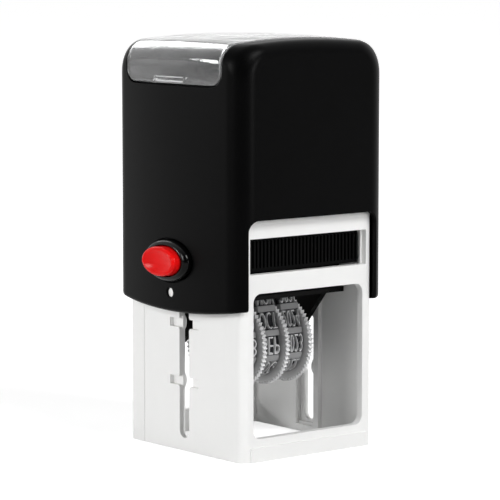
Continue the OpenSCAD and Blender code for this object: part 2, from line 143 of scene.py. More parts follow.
def grid_faces(rows: int, cols: int, wrap_rows: bool = False, wrap_cols: bool = False) -> np.ndarray:
    """Four-cornered faces of a grid whose points lie row after row.

    Args:
        rows: Number of rows.
        cols: Points in a row.
        wrap_rows: Whether the last row joins the first.
        wrap_cols: Whether the last point of a row joins its first.

    Returns:
        One row of four point numbers for each face.
    """
    r = np.arange(rows if wrap_rows else rows - 1)[:, None]
    c = np.arange(cols if wrap_cols else cols - 1)[None, :]
    r2, c2 = (r + 1) % rows, (c + 1) % cols
    corners = [r * cols + c, r * cols + c2, r2 * cols + c2, r2 * cols + c]
    return np.stack(np.broadcast_arrays(*corners), axis=-1).reshape(-1, 4)


def turned(angles: np.ndarray) -> tuple[np.ndarray, np.ndarray]:
    """Cosine and sine of an array of angles."""
    return np.cos(angles), np.sin(angles)


def circle(count: int) -> tuple[np.ndarray, np.ndarray]:
    """Cosine and sine of evenly spaced angles, once round."""
    return turned(np.linspace(0, 2 * math.pi, count, endpoint=False))


def stacked(x: np.ndarray, y: np.ndarray, z: np.ndarray) -> np.ndarray:
    """Three coordinate arrays that fit each other as one array of points."""
    return np.stack(np.broadcast_arrays(x, y, z), axis=-1)


def both_ways(ends: tuple[float, ...], counts: tuple[int, ...]) -> np.ndarray:
    """Places from minus the last end over 0 to the last end, each stretch in its own number of even steps.

    Args:
        ends: Ends of the stretches, from 0 on.
        counts: Steps of each stretch.

    Returns:
        The places in rising order.
    """
    parts = [np.linspace(*ends[k : k + 2], n, endpoint=False) for k, n in enumerate(counts)]
    half = np.concatenate([*parts, ends[-1:]])
    return np.concatenate([-half[:0:-1], half])


def rounded_rows(rows: int, turns: int) -> tuple[np.ndarray, np.ndarray]:
    """Rows over a straight stretch and a quarter turn at each of its ends.

    Args:
        rows: Steps of the straight stretch.
        turns: Steps of a quarter turn.

    Returns:
        Share of the straight stretch, -1 to 1, and angle of the turn, of each row.
    """
    quarter = np.linspace(math.pi / 2, 0, turns + 1)[:-1]
    share = np.concatenate([-np.ones(turns), np.linspace(-1, 1, rows + 1), np.ones(turns)])
    return share, np.concatenate([quarter, np.zeros(rows + 1), quarter[::-1]])


def run_along(points: np.ndarray) -> np.ndarray:
    """Distance of each point of a line from its first one, measured along the line."""
    return np.concatenate([[0], np.cumsum(np.linalg.norm(np.diff(points, axis=0), axis=1))])


def placed(name: str, data: bpy.types.ID) -> bpy.types.Object:
    """A new object of the scene, at the origin.

    Args:
        name: Its name.
        data: Its mesh, curve, light or camera.

    Returns:
        The object.
    """
    thing = bpy.data.objects.new(name, data)
    bpy.context.scene.collection.objects.link(thing)
    return thing


def aimed(thing: bpy.types.Object, place: Vector, target: Vector) -> None:
    """Moves a lamp or camera and turns it to a target.

    Args:
        thing: The lamp or camera.
        place: Where it goes.
        target: What it looks at.
    """
    thing.location = place
    thing.rotation_mode = "QUATERNION"
    thing.rotation_quaternion = (target - place).to_track_quat("-Z", "Y")


def smoothed(mesh: bpy.types.Mesh, sharp_deg: float) -> None:
    """Shades a mesh smooth, but for edges sharper than an angle."""
    mesh.shade_smooth()
    mesh.set_sharp_from_angle(angle=math.radians(sharp_deg))


def painted(piece: bpy.types.Object, name: str, values: np.ndarray) -> None:
    """Gives a piece an attribute with one value a point.

    Args:
        piece: The piece.
        name: Name of the attribute.
        values: The values, for the first points of the mesh, and 0 for the rest.
    """
    whole = np.zeros(len(piece.data.vertices), np.float32)
    whole[: values.size] = values.ravel()
    piece.data.attributes.new(name, "FLOAT", "POINT").data.foreach_set("value", whole)


@dataclass
class Shape:
    """A closed mesh as arrays: points in millimetres, and faces grouped by their number of corners."""

    points: np.ndarray
    faces: list[np.ndarray]

    @classmethod
    def joined(cls, shapes: list["Shape"]) -> "Shape":
        """Several shapes as one, without merging their points.

        Args:
            shapes: The shapes to put together.

        Returns:
            One shape that holds them all.
        """
        starts = np.cumsum([0] + [len(s.points) for s in shapes[:-1]])
        faces = [f + start for s, start in zip(shapes, starts) for f in s.faces]
        return cls(np.vstack([s.points for s in shapes]), faces)

    @classmethod
    def slab(cls, outer: np.ndarray, inner: np.ndarray) -> "Shape":
        """Two grids of points of the same size as the two faces of a sheet, with the rim closed between them.

        Args:
            outer: Rows of points of one face.
            inner: The same number of rows and points for the other face.

        Returns:
            The closed sheet.
        """
        rows, cols = outer.shape[:2]
        count = rows * cols
        numbers = np.arange(count).reshape(rows, cols)
        rim = np.concatenate([numbers[0], numbers[1:, -1], numbers[-1, -2::-1], numbers[-2:0:-1, 0]])
        ahead = np.roll(rim, -1)
        face = grid_faces(rows, cols)
        edge = np.stack([rim, rim + count, ahead + count, ahead], axis=-1)
        points = np.vstack([outer.reshape(-1, 3), inner.reshape(-1, 3)])
        return cls(points, [face, face[:, ::-1] + count, edge])

    @classmethod
    def tube(cls, rings: np.ndarray) -> "Shape":
        """Rings of points joined in order, with a flat face over each end.

        Args:
            rings: One row of points for each ring.

        Returns:
            The closed tube.
        """
        rows, cols = rings.shape[:2]
        caps = [np.arange(cols)[None, ::-1], (rows - 1) * cols + np.arange(cols)[None, :]]
        return cls(rings.reshape(-1, 3), [grid_faces(rows, cols, wrap_cols=True), *caps])

    @classmethod
    def ring(cls, sections: np.ndarray) -> "Shape":
        """Closed sections joined in order, the last one to the first.

        Args:
            sections: One row of points for each section.

        Returns:
            The closed ring.
        """
        rows, cols = sections.shape[:2]
        return cls(sections.reshape(-1, 3), [grid_faces(rows, cols, wrap_rows=True, wrap_cols=True)])

    @classmethod
    def prism(cls, outline: np.ndarray, axis: Axis, low: float, high: float) -> "Shape":
        """A flat outline carried straight along an axis: each point keeps its two other coordinates.

        Args:
            outline: Points of the outline, as the coordinates that aren't along the axis.
            axis: The axis.
            low: Start along the axis.
            high: End along the axis.

        Returns:
            The closed prism.
        """
        ends = np.array([low, high])[:, None] * np.ones(len(outline))
        parts = [np.broadcast_to(outline[:, 0], ends.shape), np.broadcast_to(outline[:, 1], ends.shape)]
        parts.insert(axis.value, ends)
        return cls.tube(stacked(*parts))

    def mirrored(self) -> "Shape":
        """The shape on the other side of the plane x = 0."""
        return Shape(self.points * [-1, 1, 1], [f[:, ::-1] for f in self.faces])

    def on_side(self, side: Side) -> "Shape":
        """A shape of the right side, mirrored if it is wanted on the left."""
        return self if side is Side.RIGHT else self.mirrored()

    def build(self, name: str, sharp_deg: float = 35.0) -> bpy.types.Object:
        """Puts the shape into the scene with its faces outwards and smooth up to an angle.

        Args:
            name: Name of the piece.
            sharp_deg: Faces that meet at more than this angle keep a sharp edge.

        Returns:
            The new object.
        """
        mesh = bpy.data.meshes.new(name)
        faces = [face for group in self.faces for face in group.tolist()]
        mesh.from_pydata((self.points * MM).tolist(), [], faces)
        work = bmesh.new()
        work.from_mesh(mesh)
        bmesh.ops.recalc_face_normals(work, faces=work.faces)
        work.to_mesh(mesh)
        work.free()
        smoothed(mesh, sharp_deg)
        return placed(name, mesh)


def cut_away(piece: bpy.types.Object, cutters: list[Shape], sharp_deg: float = 32.0) -> None:
    """Takes closed shapes away from a piece and keeps the result as its mesh.

    Args:
        piece: The piece that is cut.
        cutters: What is taken away.
        sharp_deg: Angle past which an edge of the result is sharp.
    """
    tools = [cutter.build(f"cutter_{i}") for i, cutter in enumerate(cutters)]
    for tool in tools:
        step = piece.modifiers.new("cut", "BOOLEAN")
        step.operation = "DIFFERENCE"
        step.solver = "EXACT"
        step.object = tool
    shown = piece.evaluated_get(bpy.context.evaluated_depsgraph_get())
    mesh = bpy.data.meshes.new_from_object(shown)
    piece.modifiers.clear()
    piece.data = mesh
    smoothed(mesh, sharp_deg)
    for tool in tools:
        bpy.data.objects.remove(tool)


def ellipse(wide: float, high: float, count: int) -> np.ndarray:
    """Points of an ellipse, (wide/2 cos t, high/2 sin t).

    Args:
        wide: Length of the first axis.
        high: Length of the second axis.
        count: Number of points.

    Returns:
        The points, one a row.
    """
    c, s = circle(count)
    return np.stack([wide / 2 * c, high / 2 * s], axis=-1)


def round_rect(wide: float, high: float, radius: float, steps: int = 10) -> np.ndarray:
    """Points of a rectangle whose corners are quarter circles.

    Args:
        wide: Width.
        high: Height.
        radius: Radius of the corners.
        steps: Points of a corner.

    Returns:
        The points round the middle, anticlockwise, one a row.
    """
    quarter = np.linspace(0, math.pi / 2, steps)
    angles = np.concatenate([quarter + k * math.pi / 2 for k in range(4)])
    signs = np.repeat(np.array([[1, 1], [-1, 1], [-1, -1], [1, -1]]), steps, axis=0)
    return signs * [wide / 2 - radius, high / 2 - radius] + radius * np.stack(turned(angles), axis=-1)


class Graph:
    """One material's node tree, with short calls to add and join nodes."""

    GLOSS_SPREAD = 0.12

    def __init__(self, name: str) -> None:
        """Starts a material that has only a shader and its output.

        Args:
            name: Name of the material.
        """
        self.material = bpy.data.materials.new(name)
        self.material.use_nodes = True
        self.tree = self.material.node_tree
        self.tree.nodes.clear()
        self.shader = self.add("ShaderNodeBsdfPrincipled")
        self.output = self.add("ShaderNodeOutputMaterial")
        self.link(self.shader.outputs["BSDF"], self.output, "Surface")
        self.place = self.add("ShaderNodeTexCoord").outputs["Object"]

    def add(self, kind: str, settings: dict | None = None, **inputs: object) -> bpy.types.Node:
        """Adds a node.

        Args:
            kind: Blender's name for the node.
            settings: Attributes to set on it.
            **inputs: Values for its sockets, with _ for a space in a socket's name.

        Returns:
            The node.
        """
        node = self.tree.nodes.new(kind)
        for key, value in (settings or {}).items():
            setattr(node, key, value)
        for key, value in inputs.items():
            node.inputs[key.replace("_", " ")].default_value = value
        return node

    def link(self, source: bpy.types.NodeSocket, node: bpy.types.Node, socket: str | int) -> None:
        """Joins an output to a node's input."""
        self.tree.links.new(source, node.inputs[socket])

    def noise(self, size_mm: float, detail: float = 3.0, stretch: Place = (1, 1, 1)) -> bpy.types.NodeSocket:
        """Noise on the object's coordinates.

        Args:
            size_mm: Size of the noise's grains.
            detail: Layers of finer noise.
            stretch: Share of the frequency along each axis.

        Returns:
            The noise's value.
        """
        place = self.add("ShaderNodeMapping", Scale=stretch)
        self.link(self.place, place, "Vector")
        node = self.add("ShaderNodeTexNoise", Scale=1 / (size_mm * MM), Detail=detail)
        self.link(place.outputs["Vector"], node, "Vector")
        return node.outputs["Fac"]

    def ranged(self, value: bpy.types.NodeSocket, low: float, high: float) -> bpy.types.NodeSocket:
        """A 0.3 to 0.7 value, as noise gives, spread over low to high.

        Args:
            value: The value.
            low: Result at 0.3.
            high: Result at 0.7.

        Returns:
            The spread value.
        """
        node = self.add("ShaderNodeMapRange", From_Min=0.3, From_Max=0.7, To_Min=low, To_Max=high)
        self.link(value, node, "Value")
        return node.outputs["Result"]

    def mixed(self, share: bpy.types.NodeSocket, first: Colour, second: Colour) -> bpy.types.NodeSocket:
        """Mixes two colours.

        Args:
            share: Share of the second colour.
            first: Colour at 0.
            second: Colour at 1.

        Returns:
            The mixed colour.
        """
        node = self.add("ShaderNodeMix", {"data_type": "RGBA"})
        self.link(share, node, 0)
        node.inputs[6].default_value = (*first, 1)
        node.inputs[7].default_value = (*second, 1)
        return node.outputs[2]

    def relief(self, height: bpy.types.NodeSocket, depth_mm: float, edge_mm: float = 0.0) -> None:
        """Gives the shader a bump, on edges that are softened first.

        Args:
            height: Height of the bump, 0 to 1.
            depth_mm: What a height of 1 stands for.
            edge_mm: Radius that sharp edges are softened by.
        """
        bump = self.add("ShaderNodeBump", Strength=1.0, Distance=depth_mm * MM)
        self.link(height, bump, "Height")
        if edge_mm:
            edge = self.add("ShaderNodeBevel", {"samples": 6}, Radius=edge_mm * MM)
            self.link(edge.outputs["Normal"], bump, "Normal")
        self.link(bump.outputs["Normal"], self.shader, "Normal")

    def grained(self, roughness: float, grain_mm: float, depth_mm: float, edge_mm: float) -> None:
        """Gives the shader a fine grain in gloss and relief, and softened edges.

        Args:
            roughness: Middle of the roughness, which the grain changes by its spread.
            grain_mm: Size of the grain.
            depth_mm: Depth of the grain.
            edge_mm: Radius that sharp edges are softened by.
        """
        grain = self.noise(grain_mm, detail=2.0)
        least, most = roughness * (1 - self.GLOSS_SPREAD), roughness * (1 + self.GLOSS_SPREAD)
        self.link(self.ranged(grain, least, most), self.shader, "Roughness")
        self.relief(grain, depth_mm, edge_mm)

    def fixed(self, **inputs: object) -> None:
        """Sets the shader's own sockets."""
        for key, value in inputs.items():
            self.shader.inputs[key.replace("_", " ")].default_value = value


@dataclass(frozen=True)
class Finish:
    """What all finishes share: a name, and one material that is made at its first use."""

    name: str

    def material(self) -> bpy.types.Material:
        """The finish as a node material.

        Returns:
            The material, which later calls get again.
        """
        known = bpy.data.materials.get(self.name)
        if known:
            return known
        graph = Graph(self.name)
        self.lay(graph)
        return graph.material

    def lay(self, graph: Graph) -> None:
        """Joins up the material's nodes, as each kind of finish does in its own way.

        Args:
            graph: The material's node tree.
        """
        raise NotImplementedError


@dataclass(frozen=True)
class Plastic(Finish):
    """Moulded plastic: a faintly clouded colour, a fine grain in gloss and relief, and softened edges."""

    colour: Colour
    roughness: float
    specular: float = 0.5
    cloud: float = 0.05
    cloud_mm: float = 14.0
    grain_mm: float = 0.3
    grain_depth_mm: float = 0.006
    edge_mm: float = 0.22

    def lay(self, graph: Graph) -> None:
        """Joins up the material's nodes.

        Args:
            graph: The material's node tree.
        """
        cloud = graph.ranged(graph.noise(self.cloud_mm), 0, 1)
        paler = tuple(min(1.0, c * (1 + self.cloud)) for c in self.colour)
        darker = tuple(c * (1 - self.cloud) for c in self.colour)
        graph.link(graph.mixed(cloud, darker, paler), graph.shader, "Base Color")
        graph.grained(self.roughness, self.grain_mm, self.grain_depth_mm, self.edge_mm)
        graph.fixed(Specular_IOR_Level=self.specular)


@dataclass(frozen=True)
class WheelPlasticShadedToDrum(Finish):
    """Pale plastic of a date wheel with painted shade: its colour darkens from the rim to the drum, where the
    band sits close.
    """

    rim: Colour
    drum: Colour
    axle_z: float = 22.4
    rim_r: float = 9.4
    drum_r: float = 7.2
    roughness: float = 0.42
    grain_mm: float = 0.3
    grain_depth_mm: float = 0.006
    edge_mm: float = 0.08

    def lay(self, graph: Graph) -> None:
        """Joins up the material's nodes: the colour goes by the distance from the axle, as painted shade that
        is darkest at the drum.

        Args:
            graph: The material's node tree.
        """
        kinds = ("MULTIPLY_ADD", "LENGTH")
        offset, far = (graph.add("ShaderNodeVectorMath", {"operation": kind}) for kind in kinds)
        offset.inputs[1].default_value = (0, 1, 1)
        offset.inputs[2].default_value = (0, 0, -self.axle_z * MM)
        share = graph.add("ShaderNodeMapRange", From_Min=self.drum_r * MM, From_Max=self.rim_r * MM)
        graph.link(graph.place, offset, 0)
        graph.link(offset.outputs["Vector"], far, 0)
        graph.link(far.outputs["Value"], share, "Value")
        # Painted shade: the darker colour near the drum, the pale colour at the rim.
        graph.link(graph.mixed(share.outputs["Result"], self.drum, self.rim), graph.shader, "Base Color")
        graph.grained(self.roughness, self.grain_mm, self.grain_depth_mm, self.edge_mm)


@dataclass(frozen=True)
class ClearPlastic(Finish):
    """Clear moulded plastic with waves and a faint haze, paler and less clear where a point attribute is
    high: frost that paints highlight lines.
    """

    colour: Colour
    refraction: float = 1.49
    roughness: float = 0.04
    dullest: float = 0.12
    dull_mm: float = 9.0
    wave_mm: float = 5.0
    wave_depth_mm: float = 0.3
    wave_way: Place = (0.7, 0.5, 1.2)
    haze: float = 0.06
    haze_mm: float = 5.0
    haze_way: Place = (0.8, 0.5, 1.0)
    least_clear: float = 0.1

    def lay(self, graph: Graph) -> None:
        """Joins up the material's nodes: the painted highlight frost and the haze together take from the
        clearness.

        Args:
            graph: The material's node tree.
        """
        dull = graph.ranged(graph.noise(self.dull_mm), self.roughness, self.dullest)
        graph.link(dull, graph.shader, "Roughness")
        graph.relief(graph.noise(self.wave_mm, 1.5, self.wave_way), self.wave_depth_mm)
        frost = graph.add("ShaderNodeAttribute", {"attribute_name": "frost"}).outputs["Fac"]
        haze = graph.ranged(graph.noise(self.haze_mm, 4.0, self.haze_way), 0, self.haze)
        pale = graph.add("ShaderNodeMath", {"operation": "ADD"})
        graph.link(frost, pale, 0)
        graph.link(haze, pale, 1)
        clear = graph.add("ShaderNodeMapRange", To_Min=1.0, To_Max=self.least_clear)
        graph.link(pale.outputs[0], clear, "Value")
        graph.link(clear.outputs["Result"], graph.shader, "Transmission Weight")
        graph.fixed(Base_Color=(*self.colour, 1), IOR=self.refraction)


@dataclass(frozen=True)
class Rubber(Finish):
    """Grey rubber with a dusty bloom, darkened towards near-black where a point attribute is high: ink stain
    together with painted shade in the recesses of a band.
    """

    colour: Colour
    ink: Colour = (0.012, 0.012, 0.015)
    thinnest_ink_and_shade: float = 0.96
    patch_mm: float = 1.2
    roughness: float = 0.6
    bloom: float = 0.9
    bloom_mm: float = 0.4
    specular: float = 0.15
    grain_mm: float = 0.25
    grain_depth_mm: float = 0.01
    edge_mm: float = 0.06

    def lay(self, graph: Graph) -> None:
        """Joins up the material's nodes.

        Args:
            graph: The material's node tree.
        """
        stain = graph.add("ShaderNodeAttribute", {"attribute_name": "ink"}).outputs["Fac"]
        patch = graph.add("ShaderNodeMath", {"operation": "MULTIPLY"})
        graph.link(stain, patch, 0)
        graph.link(graph.ranged(graph.noise(self.patch_mm), self.thinnest_ink_and_shade, 1.0), patch, 1)
        # The mix towards near-black is ink stain together with painted recess shade.
        graph.link(graph.mixed(patch.outputs[0], self.colour, self.ink), graph.shader, "Base Color")
        bloom = graph.ranged(graph.noise(self.bloom_mm), self.roughness, self.bloom)
        graph.link(bloom, graph.shader, "Roughness")
        graph.relief(graph.noise(self.grain_mm), self.grain_depth_mm, self.edge_mm)
        graph.fixed(Specular_IOR_Level=self.specular)


@dataclass(frozen=True)
class Metal(Finish):
    """Drawn steel with fine marks along one axis."""

    colour: Colour = (0.72, 0.73, 0.75)
    smoothest: float = 0.224
    roughest: float = 0.392
    mark_mm: float = 0.12
    mark_way: Place = (0.05, 1, 1)
    mark_depth_mm: float = 0.004
    edge_mm: float = 0.05

    def lay(self, graph: Graph) -> None:
        """Joins up the material's nodes.

        Args:
            graph: The material's node tree.
        """
        marks = graph.noise(self.mark_mm, detail=4.0, stretch=self.mark_way)
        graph.link(graph.ranged(marks, self.smoothest, self.roughest), graph.shader, "Roughness")
        graph.relief(marks, self.mark_depth_mm, self.edge_mm)
        graph.fixed(Base_Color=(*self.colour, 1), Metallic=1.0)


@dataclass(frozen=True)
class Fibre(Finish):
    """Felt, foam or card: a mottled matt colour with a fibrous or porous relief."""

    pale: Colour
    dark: Colour
    grain_mm: float
    depth_mm: float
    roughness: float = 0.95
    sheen: float = 0.0

    def lay(self, graph: Graph) -> None:
        """Joins up the material's nodes.

        Args:
            graph: The material's node tree.
        """
        grain = graph.noise(self.grain_mm, detail=6.0)
        graph.link(graph.mixed(graph.ranged(grain, 0, 1), self.dark, self.pale), graph.shader, "Base Color")
        graph.relief(grain, self.depth_mm)
        graph.fixed(Roughness=self.roughness, Sheen_Weight=self.sheen)


COVER_BLACK = Plastic("cover_black", (0.0012, 0.0012, 0.0013), 0.34, specular=0.045, cloud=0.2, grain_mm=0.35)
BEZEL_BLACK = Plastic("bezel_black", (0.0012, 0.0012, 0.0013), 0.16, specular=0.2, grain_depth_mm=0.002)
CASSETTE_BLACK = Plastic("cassette_black", (0.0012, 0.0012, 0.0013), 0.4, specular=0.05, edge_mm=0.12)
TURRET_BLACK = Plastic("turret_black", (0.0015, 0.0015, 0.0016), 0.45, specular=0.1, edge_mm=0.2)
BASE_WHITE = Plastic("base_white", (0.9, 0.9, 0.89), 0.38, cloud=0.012, grain_depth_mm=0.003, edge_mm=0.12)
PIN_WHITE = Plastic("pin_white", (0.94, 0.94, 0.93), 0.4, cloud=0.012, edge_mm=0.15)
# The wheels' second colour is painted shade towards the drum.
WHEEL_GREY_SHADED = WheelPlasticShadedToDrum("wheel_grey", (0.86, 0.86, 0.865), (0.48, 0.48, 0.485))
BRIDGE_GREY = Plastic("bridge_grey", (0.36, 0.36, 0.365), 0.5, edge_mm=0.15)
BUTTON_RED = Plastic("button_red", (0.76, 0.006, 0.006), 0.16, 0.08, cloud=0.06, grain_depth_mm=0.002)
WINDOW_CLEAR = ClearPlastic("window_clear", (0.96, 0.965, 0.97))
BAND_RUBBER = Rubber("band_rubber", (0.66, 0.66, 0.665))
DIE_RUBBER = Rubber("die_rubber", (0.22, 0.22, 0.225))
STEEL = Metal("steel")
PAD_FELT = Fibre("pad_felt", (0.03, 0.03, 0.06), (0.008, 0.008, 0.018), 0.35, 0.15, sheen=0.3)
CUSHION_FOAM = Fibre("cushion_foam", (0.78, 0.72, 0.5), (0.6, 0.53, 0.33), 0.5, 0.12)
INDEX_CARD = Fibre("index_card", (0.86, 0.86, 0.84), (0.8, 0.8, 0.78), 0.4, 0.01)


def dress(piece: bpy.types.Object, material: bpy.types.Material) -> None:
    """Makes a material the only one of a piece.

    Args:
        piece: The piece.
        material: Its finish.
    """
    piece.data.materials.clear()
    piece.data.materials.append(material)


def mount(piece: bpy.types.Object, finish: Finish, body: str, slot: str, *nodes: str) -> None:
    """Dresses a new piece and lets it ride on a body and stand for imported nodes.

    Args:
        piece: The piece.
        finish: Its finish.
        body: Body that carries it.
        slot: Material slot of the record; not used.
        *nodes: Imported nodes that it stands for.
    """
    dress(piece, finish.material())
    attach(piece, body)
    if nodes:
        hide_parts(*nodes)
    LOG.info("%s rides on %s, %d faces", piece.name, body, len(piece.data.polygons))


@dataclass(frozen=True)
class CoverForm:
    """The cover's outer form: an arched section carried from front to back, with rolled ends."""

    half_x: float
    half_y: float
    top: float
    hem_z: float
    side_r: float = 120.0
    dome_r: float = 160.0
    shoulder_r: float = 4.4
    hood_r: float = 8.0
    hood_y: float = 15.5
    crown_r: float = 300.0
    hem_r: float = 134.0
    hem_edge: float = 0.9
    corner_roll: float = 4.2
    crest_roll: float = 2.6
    front_rim: float = 0.5
    roll_steps: int = 14
    depth_steps: int = 60
    way_ends: tuple[float, ...] = (0, 1, 2, 2.97, 3)
    way_steps: tuple[int, ...] = (27, 21, 54, 10)

    def hem(self, y: np.ndarray) -> np.ndarray:
        """Height of the lower edge, an arc that rises towards the front and back."""
        return self.hem_z + self.hem_r - np.sqrt(self.hem_r**2 - y**2)

    def shoulder(self, y: np.ndarray) -> np.ndarray:
        """Radius of the shoulder, which eases to the hoods' larger one outside the window."""
        share = smooth_step(self.hood_y, self.half_y, np.abs(y))
        return self.shoulder_r + (self.hood_r - self.shoulder_r) * share

    def section(self, y: np.ndarray, inset: np.ndarray | float) -> tuple[np.ndarray, ...]:
        """The arch at a depth: half width and height fall off from the middle by arcs.

        Args:
            y: Depth from the middle.
            inset: How far inside the outer form.

        Returns:
            Half width, shoulder centre x and z, dome centre z, and the lean at which the dome ends.
        """
        wide = self.half_x - inset - (self.side_r - np.sqrt(self.side_r**2 - y**2))
        high = self.top - inset - (self.crown_r - np.sqrt(self.crown_r**2 - y**2))
        dome_z = high - (self.dome_r - inset)
        centre_x = wide - (self.shoulder(y) - inset)
        rest = self.dome_r - self.shoulder(y)
        centre_z = dome_z + np.sqrt(rest**2 - centre_x**2)
        return wide, centre_x, centre_z, dome_z, np.arcsin(centre_x / rest)

    def spot(self, way: np.ndarray, y: np.ndarray, inset: np.ndarray | float = 0.0) -> tuple[np.ndarray, ...]:
        """A point of the arch and its outward direction.

        The way runs from 0 at the crown over 1 at the end of the dome and 2 at the end of the shoulder to 3
        at the hem, and its sign is the side. Dome and shoulder are arcs in the lean, the side is straight and
        its lower edge is rounded: at a height d under the radius e, it draws in by e - sqrt(e^2 - (e - d)^2).

        Args:
            way: Place along the arch.
            y: Depth from the middle.
            inset: How far inside the outer form.

        Returns:
            x and z of the point, and x and z of the direction.
        """
        sign, way = np.sign(way), np.abs(way)
        wide, centre_x, centre_z, dome_z, start = self.section(y, inset)
        lean = np.where(way < 1, start * way, start + (math.pi / 2 - start) * np.clip(way - 1, 0, 1))
        radius = np.where(way < 1, self.dome_r, self.shoulder(y)) - inset
        x = np.where(way < 1, 0, centre_x) + radius * np.sin(lean)
        z = np.where(way < 1, dome_z, centre_z) + radius * np.cos(lean)
        z = np.where(way > 2, centre_z + (self.hem(y) - centre_z) * (way - 2), z)
        short = np.clip(self.hem_edge - (z - self.hem(y)), 0, self.hem_edge)
        x = x - self.hem_edge + np.sqrt(self.hem_edge**2 - short**2)
        return sign * x, z, sign * np.sin(lean), np.cos(lean)

    def way_down_to(self, z: np.ndarray, y: np.ndarray, inset: float) -> np.ndarray:
        """The way at which the shoulder or side has come down to a height.

        Args:
            z: Height.
            y: Depth from the middle.
            inset: How far inside the outer form.

        Returns:
            The way, 1 to 3.
        """
        _, _, centre_z, _, start = self.section(y, inset)
        lean = np.arccos(np.clip((z - centre_z) / (self.shoulder(y) - inset), 0, 1))
        on_shoulder = 1 + (lean - start) / (math.pi / 2 - start)
        on_side = 2 + (centre_z - z) / (centre_z - self.hem(y))
        return np.where(z > centre_z, on_shoulder, on_side)

    def roll(self, way: np.ndarray) -> np.ndarray:
        """Radius of the rolled edge to the front: the crest's on the dome, eased to the corner's below."""
        return self.crest_roll + (self.corner_roll - self.crest_roll) * smooth_step(1, 2, np.abs(way))

    def rolled(self, way: np.ndarray, depth: np.ndarray, turn: np.ndarray, extra: float = 0.0) -> np.ndarray:
        """Points of the outer skin with its ends rolled towards the flat front and back.

        With roll radius r and half depth b, y = depth (b - r) + sign r sin(turn), and the arch shrinks there
        along its own direction by r (1 - cos(turn)).

        Args:
            way: Places along the arch, one a column.
            depth: Share of the straight depth, -1 to 1, one a row.
            turn: Angle of the rolled edge, one a row.
            extra: Further shrink, for a ring on the flat front.

        Returns:
            A grid of points.
        """
        way, depth, turn = way[None, :], depth[:, None], turn[:, None]
        radius = self.roll(way)
        y = depth * (self.half_y - radius) + np.sign(depth) * radius * np.sin(turn)
        shrink = radius * (1 - np.cos(turn)) + extra
        x, z, out_x, out_z = self.spot(way, y)
        lift = extra * np.clip(np.abs(way) - 2, 0, 1)
        return stacked(x - out_x * shrink, y, z - out_z * shrink + lift)

    def body(self) -> Shape:
        """The whole form as a closed block, the arch closed below along the hem.

        Returns:
            The closed block.
        """
        way = both_ways(self.way_ends, self.way_steps)
        depth, turn = rounded_rows(self.depth_steps, self.roll_steps)
        skin = self.rolled(way, depth, turn)
        ring = self.rolled(way, depth[[0, -1]], turn[[0, -1]], extra=self.front_rim)
        return Shape.tube(np.concatenate([ring[:1], skin, ring[1:]]))


@dataclass(frozen=True)
class Saddle:
    """The index window's place on the cover: a strip over the top and down both sides, with rounded ends."""

    form: CoverForm
    half_y: float
    low_z: float
    corner_r: float
    turns: int = 12
    rows: int = 56
    ends: tuple[float, ...] = (0, 0.5, 0.88, 1)
    steps: tuple[int, ...] = (16, 30, 59)

    def grown(self, gap: float) -> "Saddle":
        """The same strip, wider by a gap on its outline."""
        return Saddle(self.form, self.half_y + gap, self.low_z - gap, self.corner_r + gap)

    def grid(self) -> tuple[np.ndarray, ...]:
        """Rows from front to back and columns over the top, which lie closest at the lower ends.

        Rows near the ends follow the rounded lower corners: y = half - r + r sin b, low z + r (1 - cos b).

        Returns:
            Depth and lower end of each row as columns, and the share of the way of each column as a row.
        """
        share, turn = (values[:, None] for values in rounded_rows(self.rows, self.turns))
        y = share * (self.half_y - self.corner_r) + np.sign(share) * self.corner_r * np.sin(turn)
        low = self.low_z + self.corner_r * (1 - np.cos(turn))
        return y, low, both_ways(self.ends, self.steps)[None, :]

    def sheet(self, inset: float) -> np.ndarray:
        """The strip's points at an inset from the cover's outer form.

        Args:
            inset: How far inside the outer form.

        Returns:
            A grid of points.
        """
        y, low, share = self.grid()
        way = share * self.form.way_down_to(low, y, inset)
        x, z, _, _ = self.form.spot(way, y, inset)
        return stacked(x, y, z)


